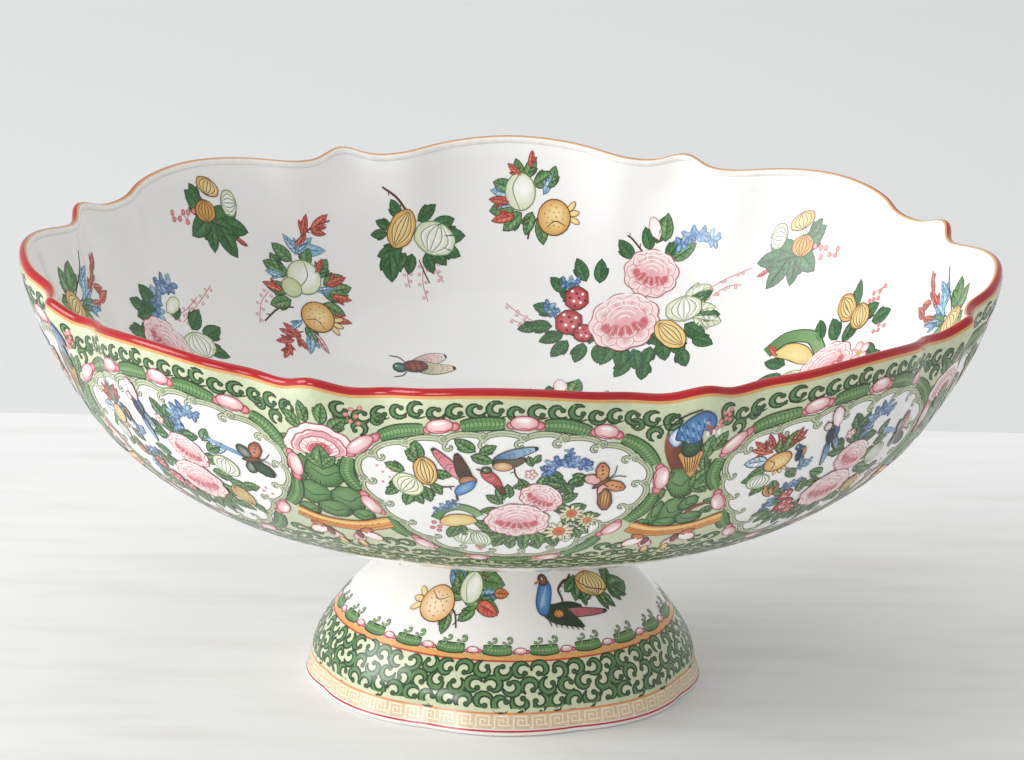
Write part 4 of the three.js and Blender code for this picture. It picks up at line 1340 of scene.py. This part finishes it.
def bee(b):
    b = b.at(-1, 0, size=.86)
    feathers(b, [(-4, 1), (3, -4), (9, -7)], 6.5, linear(196, 150, 140), PALE_PINK)
    feathers(b.up(3), [(-4, 0), (4, 1), (13, -1)], 6.5, linear(140, 160, 124), linear(236, 214, 190))
    b = b.at(-3, 1, -14, 1.25, over=6)
    b.dab(ring(8.5, 5.4, 16), linear(176, 66, 60), linear(110, 40, 40), DARK_LINE, .4)
    for k in range(3):
        b.stroke([(-2 + k * 2, -2), (-1.6 + k * 2, 2)], .55, LEAF_DARK, over=1)
    b.dab(ring(4.6, 4.4, 12, -5, .4), linear(78, 134, 130), LEAF_DARK, DARK_LINE, .35, over=1)
    b.dab(ring(1.2, 1.2, 6, -6, -.2), WHITE, DARK_LINE, over=2)
    for s in (-1, 1):
        b.stroke(smooth([(-3, s * 2), (-4.6, s * 4), (-7.6, s * 4.6)], 3), .35, DARK_LINE, over=1, taper=.3)


def hyacinth_posy(b):
    low, mid, high = b, b.up(4), b.up(9)
    sprig(low, [(-12, -2, 11, 184), (-12, 2, 10, 120), (-10, 8, 10, 100), (-2, -6, 8, 250),
                (6, -8, 9, 275), (12, -8, 9, 300), (14, -3, 9, 350), (-8, 12, 9, 110), (0, 18, 9, 92),
                (12, 14, 9, 60), (16, 4, 8, 20), (-12, 14, 9, 140), (8, 18, 9, 70), (-16, 4, 8, 160)],
          **DARK_LEAF)
    hyacinth(mid, [(-9, 0), (-13, -6), (-12, -12), (-7, -15.6)], 1.75)
    peony(high, -2, 9, 22, 18)
    segmented(mid, 10, -1, 15, 10.5, -46, PALE_FRUIT, WHITE, PALE_LINE)
    petal(mid, -6, -4, 10, 292, 5.4, WHITE, PALE_FRUIT, PALE_LINE)
    berry_fall(low, [(2, -6), (6, -18), (9, -28)], 12)
    berry_fall(low, [(-2, -5), (2, -12), (5, -20)], 7)
    segmented(mid, 14, 12, 9, 8, 20, YELLOW, CREAM, BROWN, 2)


def gourd_posy(b):
    low, mid, high = b, b.up(4), b.up(9)
    sprig(low, [(-22, -2, 9, 200), (-20, -8, 8, 220), (-4, -10, 8, 280), (2, -6, 9, 270),
                (14, -12, 9, 300), (16, -4, 9, 10), (20, 2, 9, 20), (12, 10, 9, 70), (4, 14, 9, 80),
                (-12, 10, 9, 130), (-4, 16, 9, 110), (10, -10, 9, 250), (14, 16, 9, 88), (6, -2, 9, 330)],
          **DARK_LEAF)
    low.stroke(smooth([(-24, -16), (-16, -18), (-7, -12), (-5, -2)], 5), 5, LEAF_DARK, over=1)
    low.stroke(smooth([(-24, -16), (-16, -18), (-7, -12), (-5, -2)], 5), 4.2, LEAF, LEAF_LIGHT, over=2)
    mid.dab(smooth([(-22, -14), (-15, -15), (-9, -9), (-8, -1), (-13, -3), (-18, -9)], 4, True), CREAM,
            linear(226, 198, 116), BROWN, .4)
    segmented(mid, -18, 2, 12, 9, 12, CREAM, WHITE, PALE_LINE)
    leaf(mid, -21, -14, 6, 250, **RED_LEAF)
    peony(high, -4, 5, 22, 18)
    segmented(mid, 9, -13, 9, 12, -12, YELLOW, CREAM, BROWN, 2)
    segmented(mid.up(3), 14, -5, 10, 10, 24, YELLOW, CREAM, BROWN, 2)
    berries(low, [(20, -7), (22, -6), (24, -4.6), (26, -6.4), (29, -6), (23, -8)], 1.9, stems=True)
    blossom(high, 9, 10, 5.2)
    berries(low, [(17, 6), (19, 7.4), (20, 5.4), (22, 8)], 1.9, ROSE, True)


def reed_spray(b):
    low, mid = b, b.up(4)
    for points in ([(0, 4), (-1, -10), (-4, -24)], [(2, 4), (5, -8), (7, -22)],
                   [(-2, 4), (-8, -6), (-14, -12)]):
        low.stroke(smooth(points, 4), .5, BROWN, over=1)
    sprig(low, [(-1, -8, 8, 252), (-2, -14, 8, 240), (-4, -20, 8, 258), (4, -6, 8, 290), (6, -14, 9, 275),
                (1, -14, 8, 300)], **RED_LEAF)
    sprig(low, [(-2, -4, 10, 220), (3, -2, 10, 300), (-6, -6, 8, 250), (0, -2, 9, 262)], **BLUE_LEAF)
    sprig(low, [(-4, 6, 11, 184), (4, 4, 10, 340), (0, 8, 9, 60), (-6, 2, 10, 210), (6, 8, 8, 20),
                (-2, 10, 8, 110), (2, 0, 8, 280)])
    segmented(mid, 0, 7, 12, 10, -18, YELLOW, CREAM, BROWN)


SPRAYS = [("bud_branch", bud_branch, -115, 122, False), ("pomegranate_branch", pomegranate_branch, -72,
                                                         118, False),
          ("gourd_pair", gourd_pair, -37, 151, False), ("peach_branch", peach_branch, 7, 163, False),
          ("peony_bouquet", peony_bouquet, 42.5, 122, False), ("bud_branch_mirrored", bud_branch, 107, 119,
                                                               True), ("bee", bee, -28, 99.5, False),
          ("hyacinth_posy", hyacinth_posy, -116, 70, False), ("gourd_posy", gourd_posy, 112, 70, False),
          ("reed_spray", reed_spray, -156, 32, False), ("reed_spray_mirrored", reed_spray, 158, 28, True)]
for half in (0, 1):
    for name, draw, x, y, flip in SPRAYS:
        film = Film(inside)
        spin = -1 if half else 1
        draw(Brush(film, np.diag([spin * (-1 if flip else 1), -spin]), (spin * x, spin * y), .07))
        film.laid(f"{name}_{'front' if half else 'back'}", "bowl_glaze")
film = Film(inside)
peony_bouquet(Brush(film, np.diag([1, -1]), (4, 62), .07))
film.laid("floor_bouquet", "bowl_glaze")


# ---- Stage, light and camera ---------------------------------------------------------------
def stage_plane(name, low, high, material):
    bpy.ops.object.select_all(action="DESELECT")
    bpy.ops.mesh.primitive_plane_add(size=1)
    plane = bpy.context.object
    bpy.ops.object.mode_set(mode="EDIT")
    bpy.ops.transform.resize(value=(high[0] - low[0], high[1] - low[1], 1))
    bpy.ops.transform.translate(value=((low[0] + high[0]) / 2, (low[1] + high[1]) / 2, 0))
    bpy.ops.object.mode_set(mode="OBJECT")
    plane.name = plane.data.name = name
    plane.data.materials.append(material)


table = Recipe("whitewashed_table", Specular_IOR_Level=.3)
grain = table.noise(18, 8, (.7, 3.6, 1))
VEIN_STOPS = [(.3, linear(234, 233, 232)), (.52, linear(241, 241, 241))]
veins = table.node("ShaderNodeValToRGB", dict(stops=VEIN_STOPS), {0: grain})
table.feed(Base_Color=veins, Roughness=grain * .2 + .5)
backdrop = Recipe("backdrop_paint", Roughness=.9, Specular_IOR_Level=.1)
backdrop.feed(Base_Color=backdrop.blend(backdrop.noise(2, 2), rgba(220, 222, 222), rgba(225, 227, 227)))
TABLE_BACK, STAGE_REACH, BACKDROP_END = .277, 4, 6
stage_plane("table_top", (-STAGE_REACH, -STAGE_REACH), (STAGE_REACH, TABLE_BACK), table.material)
stage_plane("backdrop", (-STAGE_REACH, TABLE_BACK), (STAGE_REACH, BACKDROP_END), backdrop.material)


BOWL_MIDDLE = Vector((0, 0, .08))


def lamp(name, place, size, power):
    light = bpy.data.lights.new(name, "AREA")
    light.shape, light.size, light.energy = "DISK", size, power
    holder = bpy.data.objects.new(name, light)
    holder.location = place
    holder.rotation_euler = (BOWL_MIDDLE - Vector(place)).to_track_quat("-Z", "Y").to_euler()
    bpy.context.collection.objects.link(holder)


lamp("window_left", (-3.2, -.4, 1.5), 2.4, 92)
lamp("low_bounce", (-1.9, -2.5, .38), 1.1, 24)
lamp("overhead", (.1, .2, 2.2), 1.8, 6)
WORLD_LIGHT = .65
world = bpy.data.worlds.new("studio_white")
bpy.context.scene.world = world
world.use_nodes = True
world.node_tree.nodes["Background"].inputs[0].default_value = (1, 1, 1, 1)
world.node_tree.nodes["Background"].inputs[1].default_value = WORLD_LIGHT

bpy.context.scene.view_settings.view_transform = "Standard"
LOOK_DOWN, ROLL = math.radians(16.166), math.radians(1.15)
LENS, SENSOR = 216.2, 36
EYE_ASIDE, EYE_BACK, EYE_ABOVE_RIM = .0011, -1.847, 496.6
camera = bpy.data.cameras.new("camera")
camera.lens, camera.sensor_width, camera.clip_start = LENS, SENSOR, .05
eye = bpy.data.objects.new("camera", camera)
eye.matrix_world = (Matrix.Translation((EYE_ASIDE, EYE_BACK, (RIM_HEIGHT + EYE_ABOVE_RIM) * MM))
                    @ Matrix.Rotation(math.pi / 2 - LOOK_DOWN, 4, "X") @ Matrix.Rotation(ROLL, 4, "Z"))
bpy.context.collection.objects.link(eye)
bpy.context.scene.camera = eye
